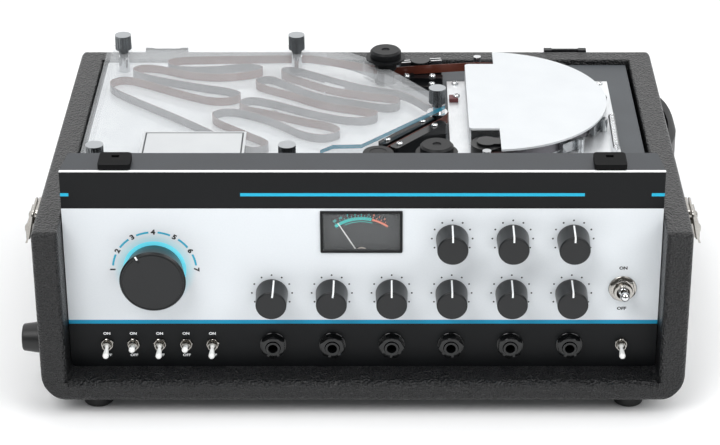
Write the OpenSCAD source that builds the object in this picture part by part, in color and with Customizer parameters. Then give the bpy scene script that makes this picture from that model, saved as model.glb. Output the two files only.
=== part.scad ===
// Tape echo unit: a portable tape delay in a covered plywood cabinet, its lid taken off.
// Millimetres. X to the right, Y to the back, Z up.
// The origin lies on the table, under the middle of the whole footprint.

/* [Cabinet] */
// Width over the covered sides
case_w = 430; // [424:1:460]
// Depth from the front edge to the back
case_d = 303; // [300:1:330]
// Height of the sides and the back, without feet
case_h = 127; // [122:1:145]
// Thickness of the sides and the back
wall_t = 17.5; // [15:0.5:18.5]
// Thickness of the bottom board
floor_t = 15; // [12:0.5:18]
// Radius along the two lower long edges
corner_r = 22; // [12:1:28]
// Radius of the covered edges
edge_r = 3; // [2:0.5:6]
// Radius of the upright back corners
back_r = 9; // [6:0.5:12]
// Height of the feet under the cabinet
foot_h = 12; // [9:1:16]
// Radius of the feet at the cabinet
foot_r = 11; // [9:0.5:13]
// Distance of the feet from the cabinet's edges
foot_inset = 35; // [30:1:45]
// Length of the feet on the left side
side_foot_l = 14; // [12:1:20]
// Height of the side feet above the cabinet's underside
side_foot_z = 35; // [28:1:50]

/* [Carrying handle] */
// Length of the bowed grip
handle_l = 84; // [80:2:100]
// Distance of the grip's outer face from the side
handle_out = 14; // [12:0.5:18]
// Thickness of the grip
handle_t = 5.5; // [4:0.5:6.5]
// Width of the grip
handle_w = 26; // [20:1:32]
// Height of the grip's middle above the cabinet's underside
handle_z = 86; // [70:1:95]
// Distance of the grip's middle from the back
handle_y = 65; // [62:1:90]

/* [Latches and hinges] */
// Distance of the latches from the front edge
latch_y = 50; // [35:1:60]
// Height of the latch's base plate
latch_h = 26; // [25:1:32]
// Width of the latch's base plate
latch_w = 24; // [22:1:30]
// Distance of the latch lever's pin below the rim
latch_pin = 16.5; // [15:0.5:18]
// Distance of each lid hinge from the middle
hinge_x = 151; // [120:1:165]
// Length of a lid hinge
hinge_l = 32; // [26:1:40]
// Depth of a lid hinge behind the back
hinge_out = 6; // [5:0.5:8]

/* [Front panel] */
// Depth of the panel behind the front edge
recess = 22.5; // [20.5:0.5:28]
// Thickness of the panel
panel_t = 2; // [1.5:0.5:2.5]
// Height of the panel above the cabinet's rim
panel_rise = 34; // [31:1:42]
// Depth of the hood behind the panel
hood_d = 26; // [22:1:30]
// Thickness of sheet metal
sheet = 1.5; // [1:0.25:2]
// Distance of the lid catches from the middle
catch_x = 161.5; // [140:0.5:175]
// Width of a lid catch
catch_w = 21; // [16:1:26]
// Height of a lid catch
catch_h = 4; // [2.5:0.5:8]

/* [Controls] */
// Position of the first knob column
col_x = -60.5; // [-64:0.5:-58]
// Distance between knob columns
pitch = 39.8; // [38:0.2:41]
// Height of the jacks above the bottom board
jack_row = 17; // [16:0.5:19]
// Height of the lower knobs above the bottom board
low_row = 56.3; // [52:0.1:60]
// Height of the upper knobs above the bottom board
high_row = 97; // [93:0.5:101]
// Radius of a knob at its base
knob_r = 10.7; // [9:0.1:12]
// Length of a knob
knob_l = 17.7; // [14:0.1:20]
// Position of the mode knob
mode_x = -137.7; // [-145:0.1:-130]
// Height of the mode knob above the bottom board
mode_row = 74; // [70:0.5:80]
// Radius of the mode knob
mode_r = 21.8; // [18:0.1:25]
// Length of the mode knob
mode_l = 17.2; // [14:0.1:20]
// Radius of the control spindles
spindle_r = 3; // [2.5:0.25:3]
// Position of the first small toggle
toggle_x = -172; // [-176:0.5:-168]
// Distance between small toggles
toggle_pitch = 17.7; // [16:0.1:19]
// Height of the small toggles above the bottom board
toggle_row = 17.6; // [15:0.1:20]
// Position of the output level toggle
level_x = 173.3; // [170:0.1:176]
// Length of a small toggle's lever from its pivot
bat_l = 12.5; // [10:0.5:14]
// Swing of a toggle to each side, in degrees
throw = 13; // [9:0.5:13]
// Position of the power switch
power_x = 172.5; // [168:0.5:173]
// Height of the power switch above the bottom board
power_row = 59.8; // [56:0.1:66]
// Length of the power lever from its pivot
power_l = 18; // [15:0.5:22]
// Radius of a jack's bore
jack_r = 3.25; // [3.2:0.05:3.4]
// Depth of a jack's bore
jack_l = 28; // [24:1:32]
// Radius of a jack's threaded neck
neck_r = 4.7; // [4.4:0.1:5]
// Length of a jack's neck in front of the panel
neck_l = 6.5; // [6:0.5:9]

/* [Meter] */
// Width of the meter's bezel
meter_w = 54; // [48:1:56]
// Height of the meter's bezel
meter_h = 30.4; // [28:0.4:34]
// Position of the meter
meter_x = -0.8; // [-4:0.1:1]
// Height of the meter's middle above the bottom board
meter_row = 102; // [99:0.5:104]
// Lean of the needle at rest, in degrees
needle_rest = -31; // [-38:1:-20]
// Length of the needle from its pivot
needle_l = 30.3; // [26:0.1:32]

/* [Deck and tape tank] */
// Distance of the deck below the rim
deck_drop = 3; // [2.5:0.5:6]
// Thickness of the deck plate
deck_t = 2; // [1.5:0.5:3]
// Gap between the deck and the cabinet's walls
deck_gap = 2.5; // [2:0.5:4]
// Thickness of the tank's floor
tray_t = 2; // [1.5:0.5:3]
// Height of the tank cover's top above the deck
tank_h = 17; // [16.5:0.5:21]
// Thickness of the clear sheet
clear_t = 3; // [2:0.5:4]
// Height of a thumb screw's head
thumb_h = 11; // [8:0.5:14]
// Radius of a thumb screw's head
thumb_r = 6; // [5:0.25:7]
// Width of the tape
tape_w = 6.35; // [6:0.05:6.5]
// Thickness of the tape as modelled
tape_t = 0.5; // [0.3:0.05:0.6]
// Height of the tape's lower edge above the deck on its way past the heads
tape_z = 5.3; // [5:0.1:5.8]

/* [Heads and drive] */
// Radius of the tape's arc round the heads
arc_r = 78; // [76:0.5:79]
// Radius of the head cover
cover_r = 85; // [83:0.5:88]
// Height of the head plate above the deck
plate_z = 3; // [2.5:0.25:4]
// Thickness of the head cover
cover_t = 1.5; // [1:0.25:2]
// Radius of the capstan
capstan_r = 3; // [2.5:0.25:4]
// Radius of the flywheel
flywheel_r = 35; // [30:1:38]
// Radius of the pinch roller
pinch_r = 11; // [9:0.5:11.5]
// Radius of the guide rollers
roller_r = 5.5; // [4.5:0.25:6.5]
// Radius of the guide rollers' caps
cap_r = 11.3; // [10:0.1:12]
// Radius of the motor pulley
pulley_r = 6; // [5:0.5:8]
// Radius of the motor
motor_r = 24; // [20:1:26]
// Number of curls of the pad spring
spring_curls = 20; // [12:1:24]

/* [Hidden] */
$fn = 64;
KNOBS = ["input_knob", "chorus_rate_knob", "chorus_depth_knob", "reverb_knob", "speed_knob", "echo_knob",
    "bass_knob", "treble_knob", "feedback_knob"];
TOGGLES = ["direct_toggle", "motor_toggle", "overdub_toggle", "echo_toggle", "chorus_toggle", "level_toggle"];

// Fits
run = 0.05;
gap = 0.35;
fit = 0.1;
e = 0.01;

// Levels and faces
y_front = -(case_d + hinge_out) / 2;
y_back = y_front + case_d;
x_side = case_w / 2;
x_in = x_side - wall_t;
y_in = y_back - wall_t;
floor_z = foot_h + floor_t;
rim_z = foot_h + case_h;
panel_y = y_front + recess;
panel_back = panel_y + panel_t;
panel_top = rim_z + panel_rise;
panel_w = x_in - 0.5;
deck_z = rim_z - deck_drop;
deck_under = deck_z - deck_t;
hood_y = panel_back + hood_d;
hood_taper = 3;
deck_front = hood_y - 6;
tray_z = deck_z + tray_t;
clear_z = deck_z + tank_h;
clear_under = clear_z - clear_t;
plate_top = deck_z + plate_z;
// The tank and the tape drive keep their distance from the back wall
mech_y = y_in - 131;

// Rows of controls: [column, row, lean of the pointer]
knob_spots = [[0, low_row, 8], [1, low_row, 8], [2, low_row, 0], [3, low_row, 0], [4, low_row, 0],
    [5, low_row, 0], [3, high_row, 0], [4, high_row, 0], [5, high_row, 0]];
function col(i) = col_x + pitch * i;
function knob_xz(i) = [col(knob_spots[i][0]), floor_z + knob_spots[i][1]];
// Small toggles: position and side at rest, up or down
toggle_down = [-1, 1, -1, 1, -1, -1];
function toggle_xz(i) = [i < 5 ? toggle_x + toggle_pitch * i : level_x, floor_z + toggle_row];
jack_columns = [0:5];

// Bodies of the controls, measured from the panel's front face
bush_r = 3.5;
bush_l = 2.2;
knob_gap = 0.8;
nut_t = 2;
bat_bush_r = 3;
bat_bush_l = 5;
bat_pivot = 2.5;
bat_r = 2.1;
power_bush_r = 6;
power_bush_l = 7;
power_pivot = 3.5;
pot_r = 8.5;
pot_l = 9;
board_y = panel_back + pot_l;
board_t = 1.6;

// ---- Helpers: outlines, and extrusions along each axis ----

module along_x(x0, x1) { translate([x0, 0, 0]) rotate([90, 0, 90]) linear_extrude(x1 - x0) children(); }
module along_y(y0, y1) { translate([0, y1, 0]) rotate([90, 0, 0]) linear_extrude(y1 - y0) children(); }
module along_z(z0, z1) { translate([0, 0, z0]) linear_extrude(z1 - z0) children(); }

// The piece that rounding takes off a corner at the origin
module nick(r) {
    difference() {
        translate([-1, -1]) square(r + 1);
        translate([r, r]) circle(r);
        translate([r, -2]) square(r + 3);
        translate([-2, r]) square(r + 3);
    }
}

// Rectangle between two corners, each corner with a radius of its own:
// lower left, lower right, upper right, upper left
module plate2(x0, y0, x1, y1, r = [0, 0, 0, 0]) {
    difference() {
        translate([x0, y0]) square([x1 - x0, y1 - y0]);
        if (r[0] > 0) translate([x0, y0]) nick(r[0]);
        if (r[1] > 0) translate([x1, y0]) mirror([1, 0]) nick(r[1]);
        if (r[2] > 0) translate([x1, y1]) mirror([1, 0]) mirror([0, 1]) nick(r[2]);
        if (r[3] > 0) translate([x0, y1]) mirror([0, 1]) nick(r[3]);
    }
}

module box(p, q) { translate(p) cube(q - p); }
module rod(x, y, z0, z1, r) { translate([x, y, z0]) cylinder(h = z1 - z0, r = r); }

// Local Z points out of the panel, from its front face
module on_panel(x, z) { translate([x, panel_y, z]) rotate([90, 0, 0]) children(); }
module hexagon(af, h) { cylinder(h = h, r = af / sqrt(3), $fn = 6); }
module ring(r0, r1, h) {
    difference() {
        cylinder(h = h, r = r1);
        translate([0, 0, -1]) cylinder(h = h + 2, r = r0);
    }
}

// Polygon drawn in by a distance t, for points that run clockwise
function unit(v) = v / norm(v);
function wrap(pts, i) = pts[(i + len(pts)) % len(pts)];
function side(pts, i) = let (d = unit(wrap(pts, i + 1) - wrap(pts, i))) [d[1], -d[0]];
function inset(pts, t) = [for (i = [0:len(pts) - 1]) let (
    a = side(pts, i - 1), b = side(pts, i)) wrap(pts, i) + t * (a + b) / (1 + a * b)];

// ---- Cabinet ----

module cabinet() color("#37393b") {
    inlet = [inlet_w / 2, inlet_h / 2];
    difference() {
        intersection() {
            along_y(y_front, y_back) plate2(-x_side, foot_h, x_side, rim_z, [corner_r, corner_r, edge_r, edge_r]);
            along_x(-x_side, x_side) plate2(y_front, foot_h, y_back, rim_z, [edge_r + 2, edge_r + 2, edge_r, edge_r]);
            along_z(foot_h, rim_z) plate2(-x_side, y_front, x_side, y_back, [edge_r, edge_r, back_r, back_r]);
        }
        along_y(y_front - 1, y_in) plate2(-x_in, floor_z, x_in, rim_z + 1, [edge_r, edge_r, 0, 0]);
        // rounding of the inner front edges and of the rim
        for (m = [0, 1]) mirror([m, 0, 0]) {
            along_z(floor_z, rim_z + 1) translate([x_in, y_front]) nick(edge_r);
            along_y(y_front - 1, y_in) translate([x_in, rim_z]) mirror([0, 1]) nick(edge_r / 2);
        }
        along_x(-x_in, x_in) translate([y_front, floor_z]) mirror([0, 1]) nick(edge_r + 2);
        along_x(-x_in, x_in) translate([y_in, rim_z]) mirror([0, 1]) nick(edge_r / 2);
        // window in the back for the mains inlet
        along_y(y_in - 1, y_back + 1) translate([inlet_x, inlet_z])
            plate2(-window_w / 2, -window_h / 2, window_w / 2, window_h / 2, [4, 4, 4, 4]);
    }
}

module rubber_feet() color("#1c1c1d") {
    for (x = [-1, 1], y = [y_front + foot_inset - 12, y_back - foot_inset + 12])
        translate([x * (x_side - foot_inset), y, 0]) foot(foot_h, foot_r, foot_r - 1);
    for (y = [y_front + foot_inset - 8, y_back - foot_inset + 8])
        translate([-x_side - side_foot_l, y, foot_h + side_foot_z])
            rotate([0, 90, 0]) foot(side_foot_l, foot_r, foot_r - 1.8);
}

// A foot that stands on its small end, with a screw sunk in it
module foot(h, r_top, r_low) {
    round_r = 1.5;
    rotate_extrude() {
        difference() {
            polygon([[0, 0], [r_low - round_r, 0], [r_low, round_r], [r_top, h], [0, h]]);
            polygon([[0, -1], [3.6, -1], [3.6, 4], [2, 5], [0, 5]]);
        }
        translate([r_low - round_r, round_r]) circle(round_r);
    }
}

// Bowed grip between two flat ends, all in one moulding
module carry_handle() color("#2a2b2d") {
    yc = y_back - handle_y;
    zc = foot_h + handle_z;
    bow = handle_out - handle_t - 1.5;
    big_r = (pow(handle_l / 2, 2) + bow * bow) / (2 * bow);
    end_l = 22;
    end_t = 6;
    round_r = handle_t - 1;
    intersection() {
        along_z(zc - handle_w / 2, zc + handle_w / 2) intersection() {
            translate([x_side + handle_out - big_r, yc]) difference() {
                circle(big_r, $fn = 200);
                circle(big_r - handle_t, $fn = 200);
            }
            translate([x_side, yc - handle_l / 2]) square([handle_out + 1, handle_l]);
        }
        along_y(yc - handle_l / 2, yc + handle_l / 2) plate2(x_side - 1, zc - handle_w / 2,
            x_side + handle_out, zc + handle_w / 2, [0, round_r, round_r, 0]);
    }
    for (s = [-1, 1]) {
        y = yc + s * (handle_l / 2 - 4);
        along_x(x_side, x_side + end_t) plate2(y - end_l / 2, zc - handle_w / 2 - 2,
            y + end_l / 2, zc + handle_w / 2 + 2, [6, 6, 6, 6]);
    }
}

// ---- Latches and lid hinges ----

pin_z = rim_z - latch_pin;
pin_out = 7;
pin_r = 1;
lever_hw = 8;
lever_l = 12;
loop_drop = 6;
loop_hw = 11.9;
loop_r = 1;
loop_top = rim_z - 3.8;
loop_lean = 11.5;
latch_yc = y_front + latch_y;

// Local frame of a latch: X outwards from the left side, Y along the case
module latch_frame(s) {
    translate([s * x_side, latch_yc, 0]) mirror([s > 0 ? 0 : 1, 0, 0]) children();
}

module latch_bases() color("silver") for (s = [-1, 1]) latch_frame(s) {
    hw = latch_w / 2;
    along_x(0, sheet) plate2(-hw, rim_z - 3 - latch_h, hw, rim_z - 3, [3, 3, 3, 3]);
    // keeper block with a square hole along it
    difference() {
        along_x(0, pin_out - 0.7) plate2(-lever_hw, pin_z + 3, lever_hw, pin_z + 9);
        box([sheet + 0.3, -lever_hw - 1, pin_z + 4.6], [pin_out - 2.4, lever_hw + 1, pin_z + 7.4]);
    }
    // ears and the pin between them
    for (m = [-1, 1]) along_y(m * 9.25 - 0.75, m * 9.25 + 0.75)
        plate2(0, pin_z - 3.5, pin_out + 2.5, pin_z + 3.5, [0, 2.5, 2.5, 0]);
    translate([pin_out, -10, pin_z]) rotate([-90, 0, 0]) cylinder(h = 20, r = pin_r);
}

module latch_lever(s) color("gainsboro") latch_frame(s) difference() {
    union() {
        translate([pin_out, -lever_hw, pin_z]) rotate([-90, 0, 0]) cylinder(h = 2 * lever_hw, r = 2.1);
        along_y(-lever_hw, lever_hw) polygon([[pin_out + 1.2, pin_z + 1], [pin_out + 2.4, pin_z - 1],
            [pin_out + 2.4, pin_z - lever_l + 2.5], [pin_out + 3.4, pin_z - lever_l],
            [pin_out + 2, pin_z - lever_l], [pin_out + 1.2, pin_z - lever_l + 2.5]]);
        for (m = [-1, 1]) along_y(m * 7 - 1, m * 7 + 1)
            plate2(pin_out - 2, pin_z - loop_drop - 2, pin_out + 2, pin_z - loop_drop + 2, [1.8, 0, 0, 1.8]);
    }
    translate([pin_out, -20, pin_z]) rotate([-90, 0, 0]) cylinder(h = 40, r = pin_r + run);
    translate([pin_out, -20, pin_z - loop_drop]) rotate([-90, 0, 0]) cylinder(h = 40, r = loop_r + run);
}

// Wire loop that hooks over the lid's keeper, at rest hanging just clear of the keeper block
module draw_loop(s) color("white") latch_frame(s)
    translate([pin_out, 0, pin_z - loop_drop]) rotate([0, -loop_lean, 0]) {
        bend = 3;
        top = loop_top - pin_z + loop_drop;
        for (m = [-1, 1]) {
            translate([0, m * 6.3, 0]) rotate([-90 * m, 0, 0]) cylinder(h = loop_hw - 6.3, r = loop_r);
            translate([0, m * loop_hw, 0]) sphere(loop_r);
            translate([0, m * loop_hw, 0]) cylinder(h = top - bend, r = loop_r);
            translate([0, m * (loop_hw - bend), top - bend]) rotate([90, 0, 90])
                rotate([0, 0, m > 0 ? 0 : 90]) rotate_extrude(angle = 90) translate([bend, 0]) circle(loop_r);
        }
        translate([0, bend - loop_hw, top]) rotate([-90, 0, 0]) cylinder(h = 2 * (loop_hw - bend), r = loop_r);
    }

// Case halves of the two lift-off hinges: leaf, two lugs and the rod that the lid hooks on
module lid_hinges() color("#303234") for (s = [-1, 1]) translate([s * hinge_x, y_back, 0]) {
    lug = 6;
    rod_r = 1.5;
    rod_z = rim_z - 1;
    along_y(0, sheet) plate2(-hinge_l / 2, rim_z - 34, hinge_l / 2, rim_z - 6, [2, 2, 0, 0]);
    for (m = [-1, 1]) along_x(m * (hinge_l / 2 - lug / 2) - lug / 2, m * (hinge_l / 2 - lug / 2) + lug / 2)
        plate2(0, rim_z - 20, hinge_out, rim_z + 0.8, [0, 4, 2, 2]);
    translate([-hinge_l / 2 + 1, hinge_out - 2.6, rod_z]) rotate([0, 90, 0])
        cylinder(h = hinge_l - 2, r = rod_r);
}

// ---- Chassis ----

inlet_x = 128;
inlet_z = foot_h + 58;
inlet_w = 28;
inlet_h = 21;
window_w = 92;
window_h = 46;
tray_x = x_in - edge_r - 0.5;
tray_in = tray_x - sheet;
tray_back = y_in - 1;
tray_top = deck_under;

module chassis_tray() color("#8f9497") {
    lip = 10;
    difference() {
        union() {
            box([-tray_x, panel_back, floor_z], [tray_x, tray_back, floor_z + sheet]);
            for (s = [-1, 1]) {
                box([min(s * tray_x, s * tray_in), panel_back, floor_z],
                    [max(s * tray_x, s * tray_in), tray_back, tray_top]);
                box([min(s * tray_x, s * (tray_in - lip)), panel_back, floor_z],
                    [max(s * tray_x, s * (tray_in - lip)), panel_back + sheet, tray_top]);
                box([min(s * tray_x, s * (tray_in - lip)), panel_back, tray_top - sheet],
                    [max(s * tray_x, s * (tray_in - lip)), tray_back, tray_top]);
            }
            box([-tray_x, tray_back - sheet, floor_z], [tray_x, tray_back, tray_top]);
            box([-tray_x, tray_back - lip, tray_top - sheet], [tray_x, tray_back, tray_top]);
        }
        box([inlet_x - inlet_w / 2 - fit, tray_back - 5, inlet_z - inlet_h / 2 - fit],
            [inlet_x + inlet_w / 2 + fit, tray_back + 1, inlet_z + inlet_h / 2 + fit]);
    }
}

// Appliance inlet with its fuse drawer, reached through the window in the back
module mains_inlet() color("#202123") {
    depth = 16;
    face = tray_back + 2;
    difference() {
        union() {
            along_y(tray_back, face) translate([inlet_x, inlet_z])
                plate2(-25, -15, 25, 15, [5, 5, 5, 5]);
            box([inlet_x - inlet_w / 2, face - depth - 3, inlet_z - inlet_h / 2],
                [inlet_x + inlet_w / 2, face, inlet_z + inlet_h / 2]);
        }
        along_y(face - depth, face + 1) translate([inlet_x, inlet_z])
            polygon([[-12, -8], [12, -8], [12, 4.5], [7.5, 8], [-7.5, 8], [-12, 4.5]]);
        for (s = [-1, 1]) translate([inlet_x + s * 20, face + 1, inlet_z]) rotate([90, 0, 0])
            cylinder(h = 5, r = 1.7);
    }
    for (p = [[0, 4], [-7, -4], [7, -4]])
        box([inlet_x + p[0] - 1, face - depth - 1, inlet_z + p[1] - 2],
            [inlet_x + p[0] + 1, face - 4.6, inlet_z + p[1] + 2]);
}

module main_deck() color("#5f6366") {
    boss_r = 8;
    difference() {
        union() {
            box([-x_in + deck_gap, deck_front, deck_under], [x_in - deck_gap, y_in - deck_gap, deck_z]);
            translate([capstan_c[0], capstan_c[1], deck_under - 14]) cylinder(h = 14.5, r = boss_r);
        }
        translate([capstan_c[0], capstan_c[1], deck_under - 20]) cylinder(h = 30, r = capstan_r + run);
    }
}

module front_panel() color("#e9edf0") difference() {
    along_y(panel_y, panel_back) plate2(-panel_w, floor_z, panel_w, panel_top, [edge_r + 0.5, edge_r + 0.5, 0, 0]);
    for (i = [0:8]) hole(knob_xz(i), bush_r);
    hole([mode_x, floor_z + mode_row], bush_r + 1.3);
    for (i = [0:5]) hole(toggle_xz(i), bat_bush_r);
    hole([power_x, floor_z + power_row], power_bush_r);
    for (i = jack_columns) hole([col(i), floor_z + jack_row], neck_r);
    mw = meter_w / 2 + fit;
    mh = meter_h / 2 + fit;
    box([meter_x - mw, panel_y - 1, floor_z + meter_row - mh], [meter_x + mw, panel_back + 1, floor_z + meter_row + mh]);
}

module hole(xz, r) { on_panel(xz[0], xz[1]) translate([0, 0, -panel_t - 1]) cylinder(h = panel_t + 2, r = r + fit); }

// Bent cover that closes the panel's upper part down to the deck
module panel_hood() color("#5f6366") {
    w1 = panel_w;
    w2 = panel_w - hood_taper;
    along_z(panel_top - sheet, panel_top)
        polygon([[-w1, panel_back], [w1, panel_back], [w2, hood_y], [-w2, hood_y]]);
    box([-w2, hood_y - sheet, deck_z], [w2, hood_y, panel_top - sheet]);
    for (s = [-1, 1]) {
        x0 = min(s * w2, s * (w2 - sheet));
        box([x0, panel_back, deck_z], [x0 + sheet, hood_y, panel_top - sheet]);
        box([x0, panel_back, deck_under], [x0 + sheet, deck_front, deck_z + e]);
    }
}

module lid_catches() color("#1b1c1d") for (s = [-1, 1]) {
    y0 = panel_y + 1.5;
    y1 = hood_y - 7;
    difference() {
        along_z(panel_top, panel_top + catch_h) plate2(s * catch_x - catch_w / 2, y0, s * catch_x + catch_w / 2, y1,
            [2, 2, 3, 3]);
        box([s * catch_x - 2.5, y1 - 8, panel_top + catch_h - 2], [s * catch_x + 2.5, y1 - 4.5, panel_top + catch_h + 1]);
    }
}

// ---- Controls ----

// Potentiometers, the mode switch and the toggle switches behind the panel
module control_bodies() color("#9a9c9e") {
    for (i = [0:8]) on_panel(knob_xz(i)[0], knob_xz(i)[1]) difference() {
        union() {
            translate([0, 0, -panel_t - pot_l]) cylinder(h = pot_l, r = pot_r);
            translate([0, 0, -panel_t - 1]) cylinder(h = panel_t + 1 + bush_l, r = bush_r);
        }
        translate([0, 0, -panel_t - pot_l + 1.5]) cylinder(h = 30, r = spindle_r + run);
    }
    on_panel(mode_x, floor_z + mode_row) difference() {
        union() {
            translate([0, 0, -panel_t - 20]) cylinder(h = 20, r = 14);
            translate([0, 0, -panel_t - 1]) cylinder(h = panel_t + 1 + bush_l, r = bush_r + 1.3);
        }
        translate([0, 0, -panel_t - pot_l + 1.5]) cylinder(h = 30, r = spindle_r + run);
    }
    for (i = [0:5]) on_panel(toggle_xz(i)[0], toggle_xz(i)[1]) difference() {
        union() {
            translate([-4, -6.5, -panel_t - 10]) cube([8, 13, 10]);
            translate([0, 0, -panel_t - 1]) cylinder(h = panel_t + 1 + bat_bush_l, r = bat_bush_r);
        }
        translate([0, 0, 0]) cylinder(h = 30, r = bat_bush_r - 0.5);
    }
    on_panel(power_x, floor_z + power_row) difference() {
        union() {
            translate([-9, -15, -panel_t - 26]) cube([18, 30, 26]);
            translate([0, 0, -panel_t - 1]) cylinder(h = panel_t + 1 + power_bush_l, r = power_bush_r);
        }
        translate([0, 0, -1]) cylinder(h = 30, r = power_bush_r - 1.5);
    }
}

// Hexagon nuts and washers that hold the controls and the jacks
module panel_nuts() color("#b9bcbe") {
    for (i = [0:8]) nut(knob_xz(i), bush_r, 10, 0, nut_t);
    nut([mode_x, floor_z + mode_row], bush_r + 1.3, 13, 0, nut_t);
    for (i = [0:5]) nut(toggle_xz(i), bat_bush_r, 8, 0, nut_t, 11 * i);
    on_panel(power_x, floor_z + power_row) ring(power_bush_r + 0.3, 9.3, 1);
    nut([power_x, floor_z + power_row], power_bush_r, 15, 0.5, 3.5);
    for (i = jack_columns) {
        on_panel(col(i), floor_z + jack_row) ring(neck_r + 0.3, 9.1, 1);
        nut([col(i), floor_z + jack_row], neck_r, 15, 0.5, neck_l - 1.5, 13 * i);
    }
}

module nut(xz, r, af, z, h, turn = 0) {
    on_panel(xz[0], xz[1]) translate([0, 0, z]) rotate([0, 0, turn]) difference() {
        hexagon(af, h);
        translate([0, 0, -1]) cylinder(h = h + 2, r = r + e);
    }
}

module jack_sockets() color("#3a3c3f") for (i = jack_columns) on_panel(col(i), floor_z + jack_row) difference() {
    union() {
        translate([-8, -8, neck_l - jack_l - 2]) cube([16, 16, jack_l + 2 - neck_l - panel_t]);
        translate([0, 0, -panel_t - 1]) cylinder(h = panel_t + 1 + neck_l, r = neck_r);
    }
    translate([0, 0, neck_l - jack_l]) cylinder(h = jack_l + 1, r = jack_r);
}

// Knob with its spindle, its pointer turned from the top by an angle
module knob(i) color("#35373a") on_panel(knob_xz(i)[0], knob_xz(i)[1]) rotate([0, 0, -knob_spots[i][2]]) {
    front = knob_gap + knob_l;
    front_r = knob_r - 0.5;
    round_r = 1.2;
    difference() {
        rotate_extrude() {
            polygon([[0, knob_gap + 2.5], [6.8, knob_gap + 2.5], [6.8, knob_gap], [knob_r, knob_gap],
                [knob_r, knob_gap + 2], [front_r, front - round_r], [front_r - round_r, front - e], [0, front - e]]);
            intersection() {
                translate([front_r - round_r, front - round_r]) circle(round_r);
                square([knob_r, front - e]);
            }
        }
        // groove of the pointer along the top and over the face
        translate([-0.6, front_r - 0.3, knob_gap + 1]) cube([1.2, 5, knob_l]);
        translate([-0.6, front_r - 4, front - 0.4]) cube([1.2, 6, 2]);
    }
    translate([0, 0, -panel_t - pot_l + 2.5]) cylinder(h = panel_t + pot_l + 2, r = spindle_r);
}

// Wide knob that flares to its face, with a ring cut near the edge and a mark on the edge
module mode_knob() color("#2e3033") on_panel(mode_x, floor_z + mode_row) {
    front = knob_gap + mode_l;
    rotate([0, 0, 30]) difference() {
        rotate_extrude($fn = 96) polygon([[0, knob_gap + 3], [14, knob_gap + 3], [14, knob_gap], [mode_r - 3.4, knob_gap],
            [mode_r - 3, knob_gap + 1], [mode_r, front - 1], [mode_r - 0.8, front],
            [mode_r - 1.4, front], [mode_r - 1.5, front - 0.4], [mode_r - 2.1, front - 0.4], [mode_r - 2.2, front], [0, front]]);
        translate([-0.8, mode_r - 5, front - 0.5]) cube([1.6, 8, 3]);
    }
    translate([0, 0, -panel_t - pot_l + 2.5]) cylinder(h = panel_t + pot_l + 2, r = spindle_r);
}

// Small toggle lever: a ball in the neck, a thin stem and a thicker capped end
module toggle(i) color("#f2f2f0") on_panel(toggle_xz(i)[0], toggle_xz(i)[1])
    translate([0, 0, bat_pivot]) rotate([-toggle_down[i] * throw, 0, 0]) {
        sphere(2.15);
        cylinder(h = bat_l - 2, r1 = 1, r2 = 1.5);
        translate([0, 0, bat_l * 0.4]) cylinder(h = bat_l * 0.6 - bat_r, r1 = 1.5, r2 = bat_r);
        translate([0, 0, bat_l - bat_r]) sphere(bat_r);
    }

module power_toggle() color("gainsboro") on_panel(power_x, floor_z + power_row)
    translate([0, 0, power_pivot]) rotate([-throw, 0, 0]) {
        sphere(4.1);
        cylinder(h = power_l - 3, r1 = 1.9, r2 = 2.3);
        translate([0, 0, power_l - 3.2]) sphere(3.2);
    }

// ---- Meter ----

meter_z = floor_z + meter_row;
needle_z = meter_z - meter_h / 2 - 6.6;
dial_y = panel_y + 7;

module meter_case() color("#24262a") {
    hw = meter_w / 2;
    hh = meter_h / 2;
    back = dial_y + 12;
    difference() {
        union() {
            along_y(panel_y - 1, panel_back) translate([meter_x, meter_z]) plate2(-hw, -hh, hw, hh, [1, 1, 1, 1]);
            box([meter_x - hw - 2, panel_back, needle_z - 5.4], [meter_x + hw + 2, back, meter_z + hh + 2]);
        }
        box([meter_x - hw + 1.7, panel_y - 2, meter_z - hh + 1.7], [meter_x + hw - 1.7, dial_y - 2, meter_z + hh - 1.7]);
        box([meter_x - hw + 1, panel_back, needle_z - 3.9], [meter_x + hw - 1, dial_y, meter_z + hh - 1]);
        translate([meter_x, dial_y - 1, needle_z]) rotate([-90, 0, 0]) cylinder(h = 4, r = 0.8 + run);
    }
}

module meter_window() color([0.8, 0.9, 0.95, 0.35])
    box([meter_x - meter_w / 2 + 1.75, panel_y - 0.6, meter_z - meter_h / 2 + 1.75],
        [meter_x + meter_w / 2 - 1.75, panel_y + 0.9, meter_z + meter_h / 2 - 1.75]);

module meter_needle() color("white") translate([meter_x, 0, needle_z]) {
    translate([0, dial_y - 3.2, 0]) rotate([-90, 0, 0]) cylinder(h = 2, r = 2.2);
    translate([0, dial_y - 3.2, 0]) rotate([-90, 0, 0]) cylinder(h = 6, r = 0.8);
    rotate([0, needle_rest, 0]) along_y(dial_y - 2.6, dial_y - 2.2)
        polygon([[-0.5, -2.5], [0.5, -2.5], [0.25, needle_l], [-0.25, needle_l]]);
}

// ---- Tape tank ----

tank_x = -(x_in - 5.5);
tank_front = hood_y + 15;
// Outline of the clear cover, clockwise from the rear left corner
tank_pts = [[tank_x, 127 + mech_y], [-36, 127 + mech_y], [-13, 114 + mech_y], [0, 103 + mech_y], [25.5, 71 + mech_y],
    [47, 40 + mech_y], [57, 26 + mech_y], [57, 17 + mech_y], [-1.5, -48 + mech_y], [-21, -49 + mech_y],
    [-30, -57.5 + mech_y], [-30, tank_front], [tank_x, tank_front]];
// Places of the thumb screws and their posts
thumb_pts = [[tank_x + 12, tank_front + 11], [-51, tank_front + 11], [tank_x + 12.5, 113 + mech_y],
    [-51, 113 + mech_y], [51.5, 16 + mech_y]];
post_r = 4;
floor_edge = 1;

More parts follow.
